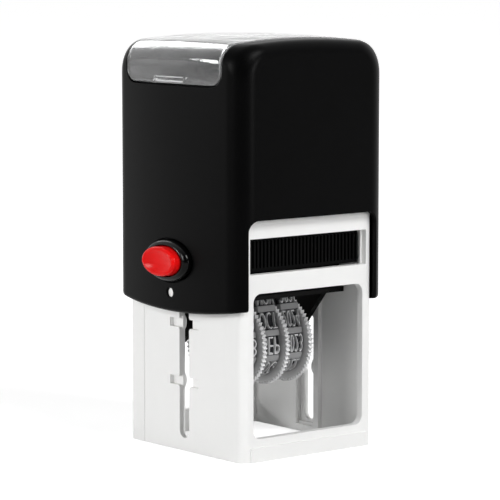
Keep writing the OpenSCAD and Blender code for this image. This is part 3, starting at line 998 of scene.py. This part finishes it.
@dataclass
class Cover:
    """The black pressing cover: skin, hollow, front arches, window bed, button wells and pivot holes."""

    form: CoverForm
    saddle: Saddle
    button_w: float
    button_h: float
    button_z: float
    pivot_z: float
    hollow_x: float = 19.1
    hollow_y: float = 20.6
    hollow_drop: float = 2.2
    hollow_drop_from: float = 0.75
    skin: float = 2.8
    arch_w: float = 36.4
    arch_top: float = 52.6
    arch_r: float = 2.5
    bed: float = 1.3
    bed_above: float = 3.0
    seam: float = 0.45
    button_gap: float = 0.2
    bezel_w: float = 15.8
    bezel_h: float = 9.8
    bezel_proud: float = 1.66
    bezel_foot: float = 0.3
    bezel_deep: float = 0.9
    bezel_root: float = 0.1
    bezel_start: float = 0.18
    bezel_rise: float = 0.7
    bezel_lip: tuple[tuple[float, float], ...] = ((0.96, 0.02), (0.99, 0.06), (1.0, 0.15))
    pivot_r: float = 1.08
    pivot_bevel: float = 0.12
    inwards: float = 1.0
    outwards: float = 4.0
    body: str = "cover"

    def hollow(self) -> Shape:
        """The room inside: a straight-sided arch, lower near its sides, carried from front to back.

        Returns:
            The block that is taken out of the skin.
        """
        dome = self.form.dome_r - self.skin
        lean = np.linspace(-1, 1, 41) * math.asin(self.hollow_x / dome)
        x, z = dome * np.sin(lean), self.form.top - self.form.dome_r + dome * np.cos(lean)
        drop = self.hollow_drop * smooth_step(self.hollow_drop_from, 1, np.abs(x) / self.hollow_x)
        arc = np.stack([x, z - drop], axis=-1)
        feet = np.array([[self.hollow_x, 0.0], [-self.hollow_x, 0.0]])
        return Shape.prism(np.vstack([arc, feet]), Axis.Y, -self.hollow_y, self.hollow_y)

    def arch(self) -> Shape:
        """The cut-out through the front and back."""
        outline = round_rect(self.arch_w, 2 * self.arch_top, self.arch_r)
        return Shape.prism(outline, Axis.Y, -2 * self.form.half_y, 2 * self.form.half_y)

    def window_bed(self) -> Shape:
        """The shallow bed under the index window: the strip between the bed's floor and the open air."""
        strip = self.saddle.grown(self.seam)
        return Shape.slab(strip.sheet(-self.bed_above), strip.sheet(self.bed))

    def bezel_bed(self) -> Shape:
        """The shallow oval bed that the bezel stands in, on the right side.

        Returns:
            The block that is taken out of the skin.
        """
        outline = ellipse(self.bezel_w, self.bezel_h, 96) + [0, self.button_z]
        skin = self.form.half_x
        return Shape.prism(outline, Axis.X, skin - self.bezel_deep, skin + self.outwards)

    def button_well(self) -> Shape:
        """The oval opening for a lock button, on the right side.

        Returns:
            The block that is taken out of the skin.
        """
        gap = 2 * self.button_gap
        outline = ellipse(self.button_w + gap, self.button_h + gap, 96) + [0, self.button_z]
        return Shape.prism(outline, Axis.X, self.hollow_x - self.inwards, self.form.half_x + self.outwards)

    def pivot_hole(self) -> Shape:
        """The hole for a pivot pin, on the right side: a cylinder that opens into a cone at the skin.

        Returns:
            The block that is taken out of the skin.
        """
        deep, skin, bevel = self.hollow_x - self.inwards, self.form.half_x, self.pivot_bevel
        radius = np.array([self.pivot_r, self.pivot_r, self.pivot_r + 2 * bevel])[:, None]
        along = np.array([deep, skin - bevel, skin + bevel])[:, None]
        c, s = circle(32)
        return Shape.tube(stacked(along, radius * c, self.pivot_z + radius * s))

    def bezel(self) -> Shape:
        """The raised oval ring round a button, on the right side.

        A section is carried round an ellipse: at share u from the outer oval to the button's, and height h, a
        point lies at the ellipse with half axes mixed by u, and x = skin + h. The section rises from a thin
        gap at the outer oval along a quarter ellipse to its crest, and falls over a lip beside the button.

        Returns:
            The closed ring.
        """
        lean, lip = np.linspace(0, math.pi / 2, 14), np.array(self.bezel_lip)
        foot, proud, deep = self.bezel_foot, self.bezel_proud, self.bezel_deep + self.bezel_root
        rise = self.bezel_start + self.bezel_rise * (1 - np.cos(lean))
        share = np.concatenate([[self.bezel_start], rise, lip[:, 0], [1.0]])
        height = np.concatenate([[-deep], foot + (proud - foot) * np.sin(lean), proud - lip[:, 1], [-deep]])
        gap = 2 * self.button_gap
        half_w = (self.bezel_w + share * (self.button_w + gap - self.bezel_w))[:, None] / 2
        half_h = (self.bezel_h + share * (self.button_h + gap - self.bezel_h))[:, None] / 2
        c, s = circle(120)
        return Shape.ring(stacked(self.form.half_x + height[:, None], half_w * c, self.button_z + half_h * s))

    def build(self) -> None:
        """Makes the shell and its two bezels, and dresses them."""
        shell = self.form.body().build("cover_skin")
        cutters = [self.hollow(), self.arch(), self.window_bed()]
        for hole in (self.bezel_bed(), self.button_well(), self.pivot_hole()):
            cutters += [hole, hole.mirrored()]
        cut_away(shell, cutters)
        mount(shell, COVER_BLACK, self.body, "black", "cover_shell")
        for side in Side:
            piece = self.bezel().on_side(side).build(f"button_bezel_{side.name.lower()}", sharp_deg=50)
            mount(piece, BEZEL_BLACK, self.body, "black_gloss")


@dataclass
class IndexWindow:
    """The clear index window with its prying grooves."""

    saddle: Saddle
    proud: float = 0.15
    thick: float = 1.0
    edge_r: float = 0.35
    edge_share: float = 0.8
    groove_w: float = 9.6
    groove_h: float = 0.9
    groove_rise: float = 0.5
    groove_depth: float = 0.5
    groove_soft: float = 0.3
    groove_frost_highlight: float = 4.0
    rim_frost_highlight: float = 0.3
    body: str = "window"

    def outside(self) -> tuple[np.ndarray, np.ndarray]:
        """The outer face: the strip set proud of the cover, rounded at its rim and grooved near both ends.

        Near the rim, at a distance d under the edge radius e, the face drops by a share of
        e - sqrt(e^2 - (e - d)^2).

        Returns:
            The points, and how frosted each is as painted highlight lines: most on the walls of a groove,
            less on the rim.
        """
        strip, edge = self.saddle, self.edge_r
        plain = strip.sheet(-self.proud)
        y, low, share = strip.grid()
        rim = np.minimum(strip.half_y - np.abs(y), np.maximum(plain[..., 2] - low, 0))
        short = np.clip(edge - rim, 0, edge)
        drop = edge - np.sqrt(edge**2 - short**2)
        start = strip.low_z + self.groove_rise
        along = window_of(start, start + self.groove_h, self.groove_soft, plain[..., 2])
        half_w = self.groove_w / 2
        groove = along * window_of(-half_w, half_w, self.groove_soft, plain[..., 1])
        way = share * strip.form.way_down_to(low, y, -self.proud)
        _, _, out_x, out_z = strip.form.spot(way, y, -self.proud)
        sink = drop * self.edge_share + groove * self.groove_depth
        # Frost paints highlight lines: strong on the groove walls, weaker round the rim.
        frost = np.maximum(self.groove_frost_highlight * groove * (1 - along), self.rim_frost_highlight * short / edge)
        return plain - stacked(out_x, np.zeros_like(out_x), out_z) * sink[..., None], frost

    def build(self) -> None:
        """Makes the window and dresses it."""
        outside, frost = self.outside()
        inside = self.saddle.sheet(self.thick - self.proud)
        piece = Shape.slab(outside, inside).build("index_pane", sharp_deg=40)
        painted(piece, "frost", frost)
        mount(piece, WINDOW_CLEAR, self.body, "clear", "index_window")


@dataclass
class IndexCard:
    """The paper card under the window, bent over the cover's top."""

    form: CoverForm
    half_x: float
    half_y: float
    inset: float = 0.9
    thick: float = 0.25
    body: str = "cover"

    def sheet(self, inset: float) -> np.ndarray:
        """One face of the card, which follows the dome out to a lean of asin(half width / dome radius).

        Args:
            inset: How far inside the outer form.

        Returns:
            A grid of points.
        """
        y = np.linspace(-self.half_y, self.half_y, 17)[:, None]
        lean = math.asin(self.half_x / (self.form.dome_r - inset)) * np.linspace(-1, 1, 33)
        x, z, _, _ = self.form.spot(lean[None, :] / self.form.section(y, inset)[-1], y, inset)
        return stacked(x, y, z)

    def build(self) -> None:
        """Makes the card and dresses it."""
        piece = Shape.slab(self.sheet(self.inset), self.sheet(self.inset + self.thick)).build("index_paper")
        mount(piece, INDEX_CARD, self.body, "paper", "index_card")


@dataclass
class LockButton:
    """A red lock button: a dished oval with a rounded lip, its flange, plug and two prongs."""

    side: Side
    wide: float
    high: float
    middle_z: float
    face_x: float
    tip_x: float
    dish: float = 0.6
    lip_r: float = 0.7
    flange_edge: float = 0.8
    flange_x: float = 21.15
    flange_t: float = 0.8
    plug_r: float = 1.85
    prong_y: float = 3.3
    prong_w: float = 1.4
    prong_h: float = 1.5
    prong_r: float = 0.2
    tip_r: float = 0.1

    def section(self) -> tuple[np.ndarray, np.ndarray, np.ndarray]:
        """Half width, half height and x of each ring, from the middle of the dish to the plug's end.

        The dish falls with the square of the distance from the lip, and the lip is a quarter circle.

        Returns:
            The three lists, one value a ring.
        """
        a, b, r = self.wide / 2, self.high / 2, self.lip_r
        share = np.linspace(0.02, 1, 16)
        lip = np.linspace(0, math.pi / 2, 9)[1:]
        inset = np.concatenate([np.full_like(share, r), r - r * np.sin(lip)])
        scale = np.concatenate([share, np.ones_like(lip)])
        face = np.concatenate([self.face_x - self.dish * (1 - share**2), self.face_x - r + r * np.cos(lip)])
        edge, under, plug = self.flange_edge, self.flange_x - self.flange_t, self.plug_r
        half_w = np.concatenate([(a - inset) * scale, [a, a + edge, a + edge, plug, plug, self.tip_r]])
        half_h = np.concatenate([(b - inset) * scale, [b, b + edge, b + edge, plug, plug, self.tip_r]])
        x = np.concatenate([face, [self.flange_x, self.flange_x, under, under, self.tip_x, self.tip_x]])
        return half_w, half_h, x

    def shape(self) -> Shape:
        """The button of the right side: ellipses of the section joined in order, and two prongs.

        Returns:
            The closed shapes as one.
        """
        half_w, half_h, x = self.section()
        c, s = circle(96)
        rings = stacked(x[:, None], half_w[:, None] * c, self.middle_z + half_h[:, None] * s)
        prong = round_rect(self.prong_w, self.prong_h, self.prong_r, steps=4)
        shapes = [Shape.tube(rings)]
        for sign in (-1, 1):
            middle = [sign * (self.prong_y + self.prong_w / 2), self.middle_z]
            shapes.append(Shape.prism(prong + middle, Axis.X, self.tip_x, self.flange_x - self.flange_t / 2))
        return Shape.joined(shapes)

    def build(self) -> None:
        """Makes the button and dresses it."""
        name = self.side.name.lower()
        piece = self.shape().on_side(self.side).build(f"button_{name}_dished", sharp_deg=40)
        mount(piece, BUTTON_RED, f"button_{name}", "red", f"lock_button_{name}")


@dataclass(frozen=True)
class BandLoop:
    """The path of a date band's outer face, seen along X: round the drum and over the two bridge edges."""

    axle_z: float
    drum_r: float
    bridge_z: float
    bridge_y: float = 1.1
    bridge_r: float = 1.7

    @classmethod
    def of_band(cls, node: str) -> "BandLoop":
        """The loop of a packed band, from its box."""
        low, high = node_box(node)
        return cls(low[2] + high[1], high[1], high[2] - cls.bridge_r)

    def outline(self, spacing: float = 0.05) -> np.ndarray:
        """Points of the loop at even steps, from the middle of the top down the front and up the back.

        The loop is two small arcs and one large arc, joined by their common tangents.

        Args:
            spacing: Step along the loop.

        Returns:
            y and z of each point, the first one repeated at the end.
        """
        rise = self.bridge_z - self.axle_z
        far = math.hypot(self.bridge_y, rise)
        lean = math.atan2(rise, self.bridge_y) - math.acos((self.drum_r - self.bridge_r) / far)
        small = np.linspace(math.pi / 2, lean, 24)
        large = np.linspace(lean, -math.pi - lean, 160)
        right = [self.bridge_y, self.bridge_z] + self.bridge_r * np.stack(turned(small), axis=-1)
        drum = [0.0, self.axle_z] + self.drum_r * np.stack(turned(large), axis=-1)
        corners = np.vstack([right, drum, right[::-1] * [-1, 1]]) * [-1, 1]
        top = np.array([[0.0, self.bridge_z + self.bridge_r]])
        corners = np.vstack([top, corners, top])
        length = run_along(corners)
        even = np.linspace(0, length[-1], int(length[-1] / spacing))
        return np.stack([np.interp(even, length, corners[:, i]) for i in range(2)], axis=-1)

    def at(self, along: np.ndarray, out: np.ndarray) -> tuple[np.ndarray, np.ndarray]:
        """Places on the loop, moved outwards.

        Args:
            along: Distance from the middle of the top, down the front first.
            out: Distance outwards from the loop.

        Returns:
            y and z of the places.
        """
        line = self.outline()
        length = run_along(line)
        ahead = np.roll(line[:-1], -1, axis=0) - np.roll(line[:-1], 1, axis=0)
        ahead = np.vstack([ahead, ahead[:1]])
        normal = np.stack([ahead[:, 1], -ahead[:, 0]], axis=-1) / np.linalg.norm(ahead, axis=1, keepdims=True)
        where = np.mod(along, length[-1])
        parts = [np.interp(where, length, column) for column in (*line.T, *normal.T)]
        return parts[0] + out * parts[2], parts[1] + out * parts[3]

    def length(self) -> float:
        """Length of the loop."""
        return float(run_along(self.outline())[-1])


@dataclass
class DateBand:
    """A rubber date band: a closed loop with raised, mirrored characters in even rows."""

    node: str
    words: list[str]
    loop: BandLoop
    thick: float = 0.9
    raised: float = 0.7
    char_h: float = 3.8
    slim: float = 0.85
    margin: float = 0.2
    land: float = 1.3
    ramp: float = 0.15
    land_shade: float = 0.5
    edge_r: float = 0.15
    root: float = 0.1
    body: str = "turret"

    def limits(self) -> tuple[float, float]:
        """Lowest and highest x of the band."""
        low, high = node_box(self.node)
        return float(low[0]), float(high[0])

    def strap(self) -> tuple[Shape, np.ndarray]:
        """The band itself: a rounded flat section carried round the loop, thicker between the rows.

        Between two rows, its outer face rises to the height of the characters by a smooth step.

        Returns:
            The shape, and how darkened each point is by ink stain and painted shade: fully on the floor of a
            row, partly on the lands.
        """
        low, high = self.limits()
        section = round_rect(high - low, self.thick, self.edge_r, steps=3)
        total = self.loop.length()
        along = np.linspace(0, total, 60 * len(self.words), endpoint=False)[:, None]
        pitch = total / len(self.words)
        from_row = pitch * np.abs(np.mod(along / pitch + 0.5, 1) - 0.5)
        land = smooth_step(-self.ramp, 0, from_row - (pitch - self.land) / 2)
        lift = land * self.raised * (section[None, :, 1] > 0)
        y, z = self.loop.at(along * np.ones(len(section)), section[None, :, 1] - self.thick / 2 + lift)
        points = stacked((low + high) / 2 + section[None, :, 0], y, z)
        # Painted shade with ink: row floors take the whole dark mix, the lands a part of it, the letters
        # none.
        return Shape.ring(points), (1 - (1 - self.land_shade) * land) * np.ones(len(section))

    def word(self, text: str, along: float) -> Shape:
        """One word on the loop: across becomes x, up becomes on along the loop, height goes outwards.

        Args:
            text: The word.
            along: Place of its middle on the loop.

        Returns:
            The raised word.
        """
        low, high = self.limits()
        flat, faces = outline_mesh(text)
        span = np.ptp(flat[:, :2], axis=0)
        middle = (flat[:, :2].max(axis=0) + flat[:, :2].min(axis=0)) / 2
        wide = min(high - low - 2 * self.margin, self.char_h * span[0] / span[1] * self.slim)
        across = (flat[:, 0] - middle[0]) / span[0] * wide
        up = (flat[:, 1] - middle[1]) / span[1] * self.char_h
        out = np.where(flat[:, 2] > 0, self.raised, -self.root)
        y, z = self.loop.at(along + up, out)
        return Shape(stacked((low + high) / 2 + across, y, z), faces)

    def build(self) -> None:
        """Makes the band with its words and dresses it."""
        strap, ink = self.strap()
        pitch = self.loop.length() / len(self.words)
        rows = [self.word(text, i * pitch) for i, text in enumerate(self.words)]
        piece = Shape.joined([strap, *rows]).build(f"{self.node}_lettered", sharp_deg=40)
        # The band's points carry the dark mix of ink stain and painted recess shade.
        painted(piece, "ink", ink)
        mount(piece, BAND_RUBBER, self.body, "rubber", self.node)


def outline_mesh(text: str) -> tuple[np.ndarray, list[np.ndarray]]:
    """A word of the plain built-in letters as a thin block.

    Args:
        text: The word.

    Returns:
        Points, with z below 0 on the back and above 0 on the face, and faces grouped by corner count.
    """
    curve = bpy.data.curves.new("word", "FONT")
    curve.body = text
    curve.extrude = 0.5
    curve.resolution_u = 3
    curve.offset = -LETTER_THINNED
    words = placed("word", curve)
    mesh = bpy.data.meshes.new_from_object(words.evaluated_get(bpy.context.evaluated_depsgraph_get()))
    work = bmesh.new()
    work.from_mesh(mesh)
    bmesh.ops.remove_doubles(work, verts=work.verts, dist=1e-5)
    bmesh.ops.triangulate(work, faces=work.faces)
    work.to_mesh(mesh)
    work.free()
    points = np.empty(3 * len(mesh.vertices))
    mesh.vertices.foreach_get("co", points)
    corners = np.empty(len(mesh.loops), int)
    mesh.loops.foreach_get("vertex_index", corners)
    for item, store in ((words, bpy.data.objects), (curve, bpy.data.curves), (mesh, bpy.data.meshes)):
        store.remove(item)
    return points.reshape(-1, 3), [corners.reshape(-1, 3)]


@dataclass
class ReturnSpring:
    """The steel return spring, one wire with close ends and open turns between them."""

    coil_r: float = 8.0
    wire_r: float = 0.45
    turns: float = 7.0
    close: float = 1.6
    turn_steps: int = 56
    body: str = "base"
    node: str = "return_spring"
    joint: str = "press"
    pressed_share: float = 0.22

    def shape(self) -> Shape:
        """A round wire carried along a helix: the height eases out of one close turn at each end.

        Returns:
            The closed wire.
        """
        low, high = node_box(self.node)
        bottom, top = low[2] + self.wire_r, high[2] - self.wire_r
        turn = np.linspace(0, self.turns, int(self.turns * self.turn_steps) + 1)
        knots, tall = [0, 1, self.turns - 1, self.turns], top - bottom
        height = np.interp(turn, knots, [0, self.close, tall - self.close, tall])
        c, s = turned(2 * math.pi * turn[:, None])
        out, up = circle(12)
        radius = self.coil_r + self.wire_r * out
        return Shape.tube(stacked(radius * c, radius * s, bottom + height[:, None] + self.wire_r * up))

    def build(self) -> None:
        """Makes the spring and dresses it."""
        piece = self.shape().build("return_spring_wire")
        mount(piece, STEEL, self.body, "steel", self.node)
        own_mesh(piece)


@dataclass
class InkPad:
    """The felt ink pad: a block with rounded edges and a slightly crowned face towards the die."""

    node: str = "ink_pad"
    body: str = "cassette"
    edge_r: float = 0.7
    corner: float = 0.12
    crown: float = 0.12
    rings: int = 16

    def shape(self) -> Shape:
        """Layers of rounded rectangles that draw in towards the lower face, closed by a shallow crown.

        Returns:
            The closed block.
        """
        low, high = node_box(self.node)
        size, middle = high - low, (high + low) / 2
        lean = np.linspace(0, math.pi / 2, 7)
        face = self.edge_r + np.linspace(0.5, size[0] / 2 - 1, self.rings)
        inset = np.concatenate([[0.0], self.edge_r * (1 - np.cos(lean)), face])
        dome = np.concatenate([np.zeros(len(lean) + 1), np.linspace(0, 1, self.rings)])
        bottom = low[2] + self.crown
        side = bottom + self.edge_r * (1 - np.sin(lean))
        z = np.concatenate([[high[2]], side, np.full(self.rings, bottom)])
        z = z - self.crown * (1 - (1 - dome) ** 2)
        unit = round_rect(2, 2, self.corner, steps=6)
        x = middle[0] + (size[0] / 2 - inset[:, None]) * unit[None, :, 0]
        y = middle[1] + (size[1] / 2 - inset[:, None]) * unit[None, :, 1]
        return Shape.tube(stacked(x, y, z[:, None]))

    def build(self) -> None:
        """Makes the pad and dresses it."""
        piece = self.shape().build("ink_pad_felt")
        mount(piece, PAD_FELT, self.body, "felt", self.node)


@dataclass
class DieCushion:
    """The foam sheet under the die, with a slot for the bands."""

    slot_low_x: float
    slot_high_x: float
    slot_half_y: float = 3.7
    node: str = "die_cushion"
    body: str = "turret"
    bulge: float = 0.1
    corner: float = 0.02
    slot_corner: float = 0.03

    def shape(self) -> Shape:
        """A flat ring between two rounded rectangles: its walls bulge by a half sine of the height.

        Returns:
            The closed ring.
        """
        low, high = node_box(self.node)
        size, middle = high - low, (high + low) / 2
        up = np.linspace(0, 1, 5)[:, None]
        outer = round_rect(1, 1, self.corner, steps=4)
        inner = round_rect(1, 1, self.slot_corner, steps=4)
        pull = self.bulge * (1 - np.sin(math.pi * up))
        z = low[2] + size[2] * up
        wide, deep = size[0] - 2 * pull, size[1] - 2 * pull
        wall = stacked(middle[0] + wide * outer[:, 0], middle[1] + deep * outer[:, 1], z)
        slot_x, slot_w = (self.slot_low_x + self.slot_high_x) / 2, self.slot_high_x - self.slot_low_x
        half_y = self.slot_half_y + pull
        hole = stacked(slot_x + (slot_w + 2 * pull) * inner[:, 0], 2 * half_y * inner[:, 1], z)
        return Shape.ring(np.concatenate([wall, hole[::-1]]))

    def build(self) -> None:
        """Makes the cushion and dresses it."""
        piece = self.shape().build("die_cushion_foam")
        mount(piece, CUSHION_FOAM, self.body, "foam", self.node)


@dataclass
class MouldedParts:
    """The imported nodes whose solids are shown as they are, each with its finish."""

    finishes: dict[str, Finish] = field(
        default_factory=lambda: {
            "base_frame": BASE_WHITE,
            "pad_cassette": CASSETTE_BLACK,
            "turret_frame": TURRET_BLACK,
            "text_plate": DIE_RUBBER,
            "band_bridge": BRIDGE_GREY,
            "pivot_pin_left": PIN_WHITE,
            "pivot_pin_right": PIN_WHITE,
            "wheel_axle": STEEL,
            "axle_washers": BRIDGE_GREY,
            "axle_clips": STEEL,
            "day_tens_wheel": WHEEL_GREY_SHADED,
            "day_units_wheel": WHEEL_GREY_SHADED,
            "month_wheel": WHEEL_GREY_SHADED,
            "year_wheel": WHEEL_GREY_SHADED,
        }
    )

    def build(self) -> None:
        """Gives each node its finish."""
        for node, finish in self.finishes.items():
            dress(frame["nodes"][node], finish.material())
            LOG.info("%s keeps its solid, finish %s", node, finish.name)


@dataclass(frozen=True)
class SoftBox:
    """A square lamp of soft light, aimed at the stamp."""

    name: str
    place: Place
    size: float
    watts: float
    target: Place = (0.0, 0.0, 0.045)

    def build(self) -> None:
        """Puts the lamp into the scene."""
        light = bpy.data.lights.new(self.name, "AREA")
        light.shape = "SQUARE"
        light.size = self.size
        light.energy = self.watts
        aimed(placed(self.name, light), Vector(self.place), Vector(self.target))


@dataclass
class Studio:
    """A pale floor, soft lamps, a white surround and the camera."""

    azimuth_deg: float = -39.26
    elevation_deg: float = 6.13
    distance: float = 0.5953
    orbit_z: float = 0.048
    aim: Place = (-0.00001, 0.00001, 0.0433)
    lens: float = 192.0
    sensor: float = 36.0
    floor_half: float = 8.0
    floor_colour: Colour = (0.72, 0.72, 0.72)
    floor_roughness: float = 0.9
    floor_specular: float = 0.1
    floor_glow: tuple[float, float] = (0.64, 0.9)
    floor_ease: tuple[float, float] = (0.1, 0.9)
    floor_lines: int = 9
    dark_side: float = 0.03
    dark_ease: tuple[float, float] = (-0.75, 0.5)
    upward: float = 0.15
    fill: float = 0.14
    lamps: tuple[SoftBox, ...] = (
        SoftBox("lamp_key", (0.08, -0.85, 0.88), 0.4, 8.2),
        SoftBox("lamp_left", (-1.2, -0.05, 0.5), 0.5, 7.7),
        SoftBox("lamp_front", (0.3, -1.3, 0.25), 0.3, 4.3),
        SoftBox("lamp_back_left", (-0.93, 0.65, 0.265), 0.19, 2.1),
        SoftBox("lamp_behind", (0.2, 0.98, 0.84), 0.66, 3.6),
    )

    def away(self, tree: bpy.types.NodeTree, way: bpy.types.NodeSocket) -> bpy.types.NodeSocket:
        """Brightness by direction: white behind the stamp, eased to dark on the camera's side.

        Args:
            tree: Node tree to add to.
            way: The direction, a unit vector.

        Returns:
            The brightness.
        """
        facing, spread = tree.nodes.new("ShaderNodeVectorMath"), tree.nodes.new("ShaderNodeMapRange")
        angle = math.radians(self.azimuth_deg)
        facing.operation = "DOT_PRODUCT"
        facing.inputs[1].default_value = (-math.sin(angle), math.cos(angle), self.upward)
        spread.interpolation_type = "SMOOTHSTEP"
        for key, value in zip(("From Min", "From Max", "To Min"), (*self.dark_ease, self.dark_side)):
            spread.inputs[key].default_value = value
        tree.links.new(way, facing.inputs[0])
        tree.links.new(facing.outputs["Value"], spread.inputs["Value"])
        return spread.outputs["Result"]

    def floor(self) -> None:
        """A wide pale floor that keeps the stamp's soft shadow and is white further out.

        What camera, gloss and clear pieces see of it glows a little near the stamp and more by a smooth step
        of the distance, where the lamps fall off. Gloss sees less of that on the camera's side.
        """
        across = np.linspace(-self.floor_half, self.floor_half, self.floor_lines)
        x, y = np.meshgrid(across, across)
        mesh = bpy.data.meshes.new("floor")
        points = stacked(x, y, np.zeros_like(x)).reshape(-1, 3)
        mesh.from_pydata(points.tolist(), [], grid_faces(self.floor_lines, self.floor_lines).tolist())
        floor = placed("floor", mesh)
        graph = Graph("floor_paper")
        graph.fixed(Base_Color=(*self.floor_colour, 1), Emission_Color=(1, 1, 1, 1))
        graph.fixed(Roughness=self.floor_roughness, Specular_IOR_Level=self.floor_specular)
        path = graph.add("ShaderNodeLightPath")
        kinds = ("LENGTH", "NORMALIZE")
        far, unit = (graph.add("ShaderNodeVectorMath", {"operation": kind}) for kind in kinds)
        near, wide = self.floor_ease
        least, most = self.floor_glow
        eased = {"interpolation_type": "SMOOTHSTEP"}
        ends = {"From_Min": near, "From_Max": wide, "To_Min": least, "To_Max": most}
        spread = graph.add("ShaderNodeMapRange", eased, **ends)
        kinds = ("MULTIPLY", "MAXIMUM", "MAXIMUM", "MULTIPLY")
        gloss, straight, shown, level = (graph.add("ShaderNodeMath", {"operation": kind}) for kind in kinds)
        graph.link(graph.place, far, 0)
        graph.link(far.outputs["Value"], spread, "Value")
        graph.link(graph.place, unit, 0)
        graph.link(path.outputs["Is Glossy Ray"], gloss, 0)
        graph.link(self.away(graph.tree, unit.outputs["Vector"]), gloss, 1)
        graph.link(gloss.outputs[0], straight, 0)
        graph.link(path.outputs["Is Transmission Ray"], straight, 1)
        graph.link(path.outputs["Is Camera Ray"], shown, 0)
        graph.link(straight.outputs[0], shown, 1)
        graph.link(shown.outputs[0], level, 0)
        graph.link(spread.outputs["Result"], level, 1)
        graph.link(level.outputs[0], graph.shader, "Emission Strength")
        dress(floor, graph.material)

    def surround(self) -> None:
        """A white background that fades to an unlit room on the camera's side.

        Camera and transmission rays see white all round. Gloss sees white behind the stamp and dark in front
        of it, by a smooth step of the direction's share away from the camera, and diffuse light less of that.
        """
        world = bpy.data.worlds.new("surround")
        bpy.context.scene.world = world
        world.use_nodes = True
        nodes, links = world.node_tree.nodes, world.node_tree.links
        nodes.clear()
        kinds = ("LightPath", "TexCoord", "MapRange", "Math", "Math", "Math")
        path, place, share, light, clear, level = [nodes.new(f"ShaderNode{k}") for k in kinds]
        back, output = nodes.new("ShaderNodeBackground"), nodes.new("ShaderNodeOutputWorld")
        share.inputs["To Min"].default_value = self.fill
        light.operation, clear.operation, level.operation = "MULTIPLY", "MAXIMUM", "MAXIMUM"
        for source, target in (
            (path.outputs["Is Glossy Ray"], share.inputs["Value"]),
            (self.away(world.node_tree, place.outputs["Generated"]), light.inputs[0]),
            (share.outputs["Result"], light.inputs[1]),
            (path.outputs["Is Camera Ray"], clear.inputs[0]),
            (path.outputs["Is Transmission Ray"], clear.inputs[1]),
            (clear.outputs[0], level.inputs[0]),
            (light.outputs[0], level.inputs[1]),
            (level.outputs[0], back.inputs["Strength"]),
            (back.outputs[0], output.inputs["Surface"]),
        ):
            links.new(source, target)
        back.inputs["Color"].default_value = (1, 1, 1, 1)

    def camera(self) -> None:
        """The camera at the photograph's viewing angle."""
        data = bpy.data.cameras.new("camera")
        data.lens, data.sensor_width = self.lens, self.sensor
        a, e = math.radians(self.azimuth_deg), math.radians(self.elevation_deg)
        back = Vector((math.sin(a) * math.cos(e), -math.cos(a) * math.cos(e), math.sin(e)))
        camera = placed("camera", data)
        aimed(camera, Vector((0, 0, self.orbit_z)) + back * self.distance, Vector(self.aim))
        bpy.context.scene.camera = camera

    def build(self) -> None:
        """Sets the stage."""
        self.camera()
        self.floor()
        self.surround()
        for lamp in self.lamps:
            lamp.build()
        bpy.context.scene.view_settings.view_transform = "Standard"


@dataclass
class DateStamp:
    """The whole stamp, built from its sub-assemblies."""

    bezel_over: float = 1.6
    window_corner: float = 3.0
    slot_gap: float = 0.3
    month_names: str = "JAN DEC NOV OCT SEP AUG JUL JUN MAY APR MAR FEB"
    day: int = 22
    last_year: int = 2027

    def bands(self) -> list[DateBand]:
        """The four date bands, each with as many rows as the year has months, set to a day in January.

        Returns:
            The bands, from left to right.
        """
        loop = BandLoop.of_band("month_band")
        months = self.month_names.split()
        rows = range(len(months))
        tens, units = divmod(self.day, 10)
        words = {
            "day_tens_band": [str((tens - n) % 4) for n in rows],
            "day_units_band": [str((units - n) % 10) for n in rows],
            "month_band": months,
            "year_band": [str(self.last_year - n) for n in rows],
        }
        return [DateBand(node, row, loop) for node, row in words.items()]

    def parts(self) -> list[object]:
        """The sub-assemblies in building order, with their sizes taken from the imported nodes.

        Returns:
            The sub-assemblies, each with a build method.
        """
        low, high = node_box("cover_shell")
        pane_low, pane_high = node_box("index_window")
        form = CoverForm(high[0] - self.bezel_over, high[1], pane_high[2] - IndexWindow.proud, low[2])
        saddle = Saddle(form, pane_high[1], pane_low[2], self.window_corner)
        push_low, push_high = node_box("lock_button_right")
        wide, tall = (push_high - push_low)[1:] - 2 * LockButton.flange_edge
        push_z = (push_low[2] + push_high[2]) / 2
        pin_low, pin_high = node_box("pivot_pin_right")
        _, card = node_box("index_card")
        tens_low, _ = node_box("day_tens_band")
        _, year_high = node_box("year_band")
        return [
            MouldedParts(),
            Cover(form, saddle, wide, tall, push_z, (pin_low[2] + pin_high[2]) / 2),
            IndexWindow(saddle),
            IndexCard(form, card[0], card[1]),
            *(LockButton(side, wide, tall, push_z, push_high[0], push_low[0]) for side in Side),
            *self.bands(),
            ReturnSpring(),
            InkPad(),
            DieCushion(tens_low[0] - self.slot_gap, year_high[0] + self.slot_gap),
        ]

    def build(self) -> None:
        """Builds every sub-assembly."""
        for part in self.parts():
            LOG.info("building %s", type(part).__name__)
            part.build()


def main() -> None:
    """Builds the stage and the stamp."""
    logging.basicConfig(level=logging.INFO, format="%(name)s: %(message)s")
    Studio().build()
    DateStamp().build()


if __name__ == "__main__":
    main()
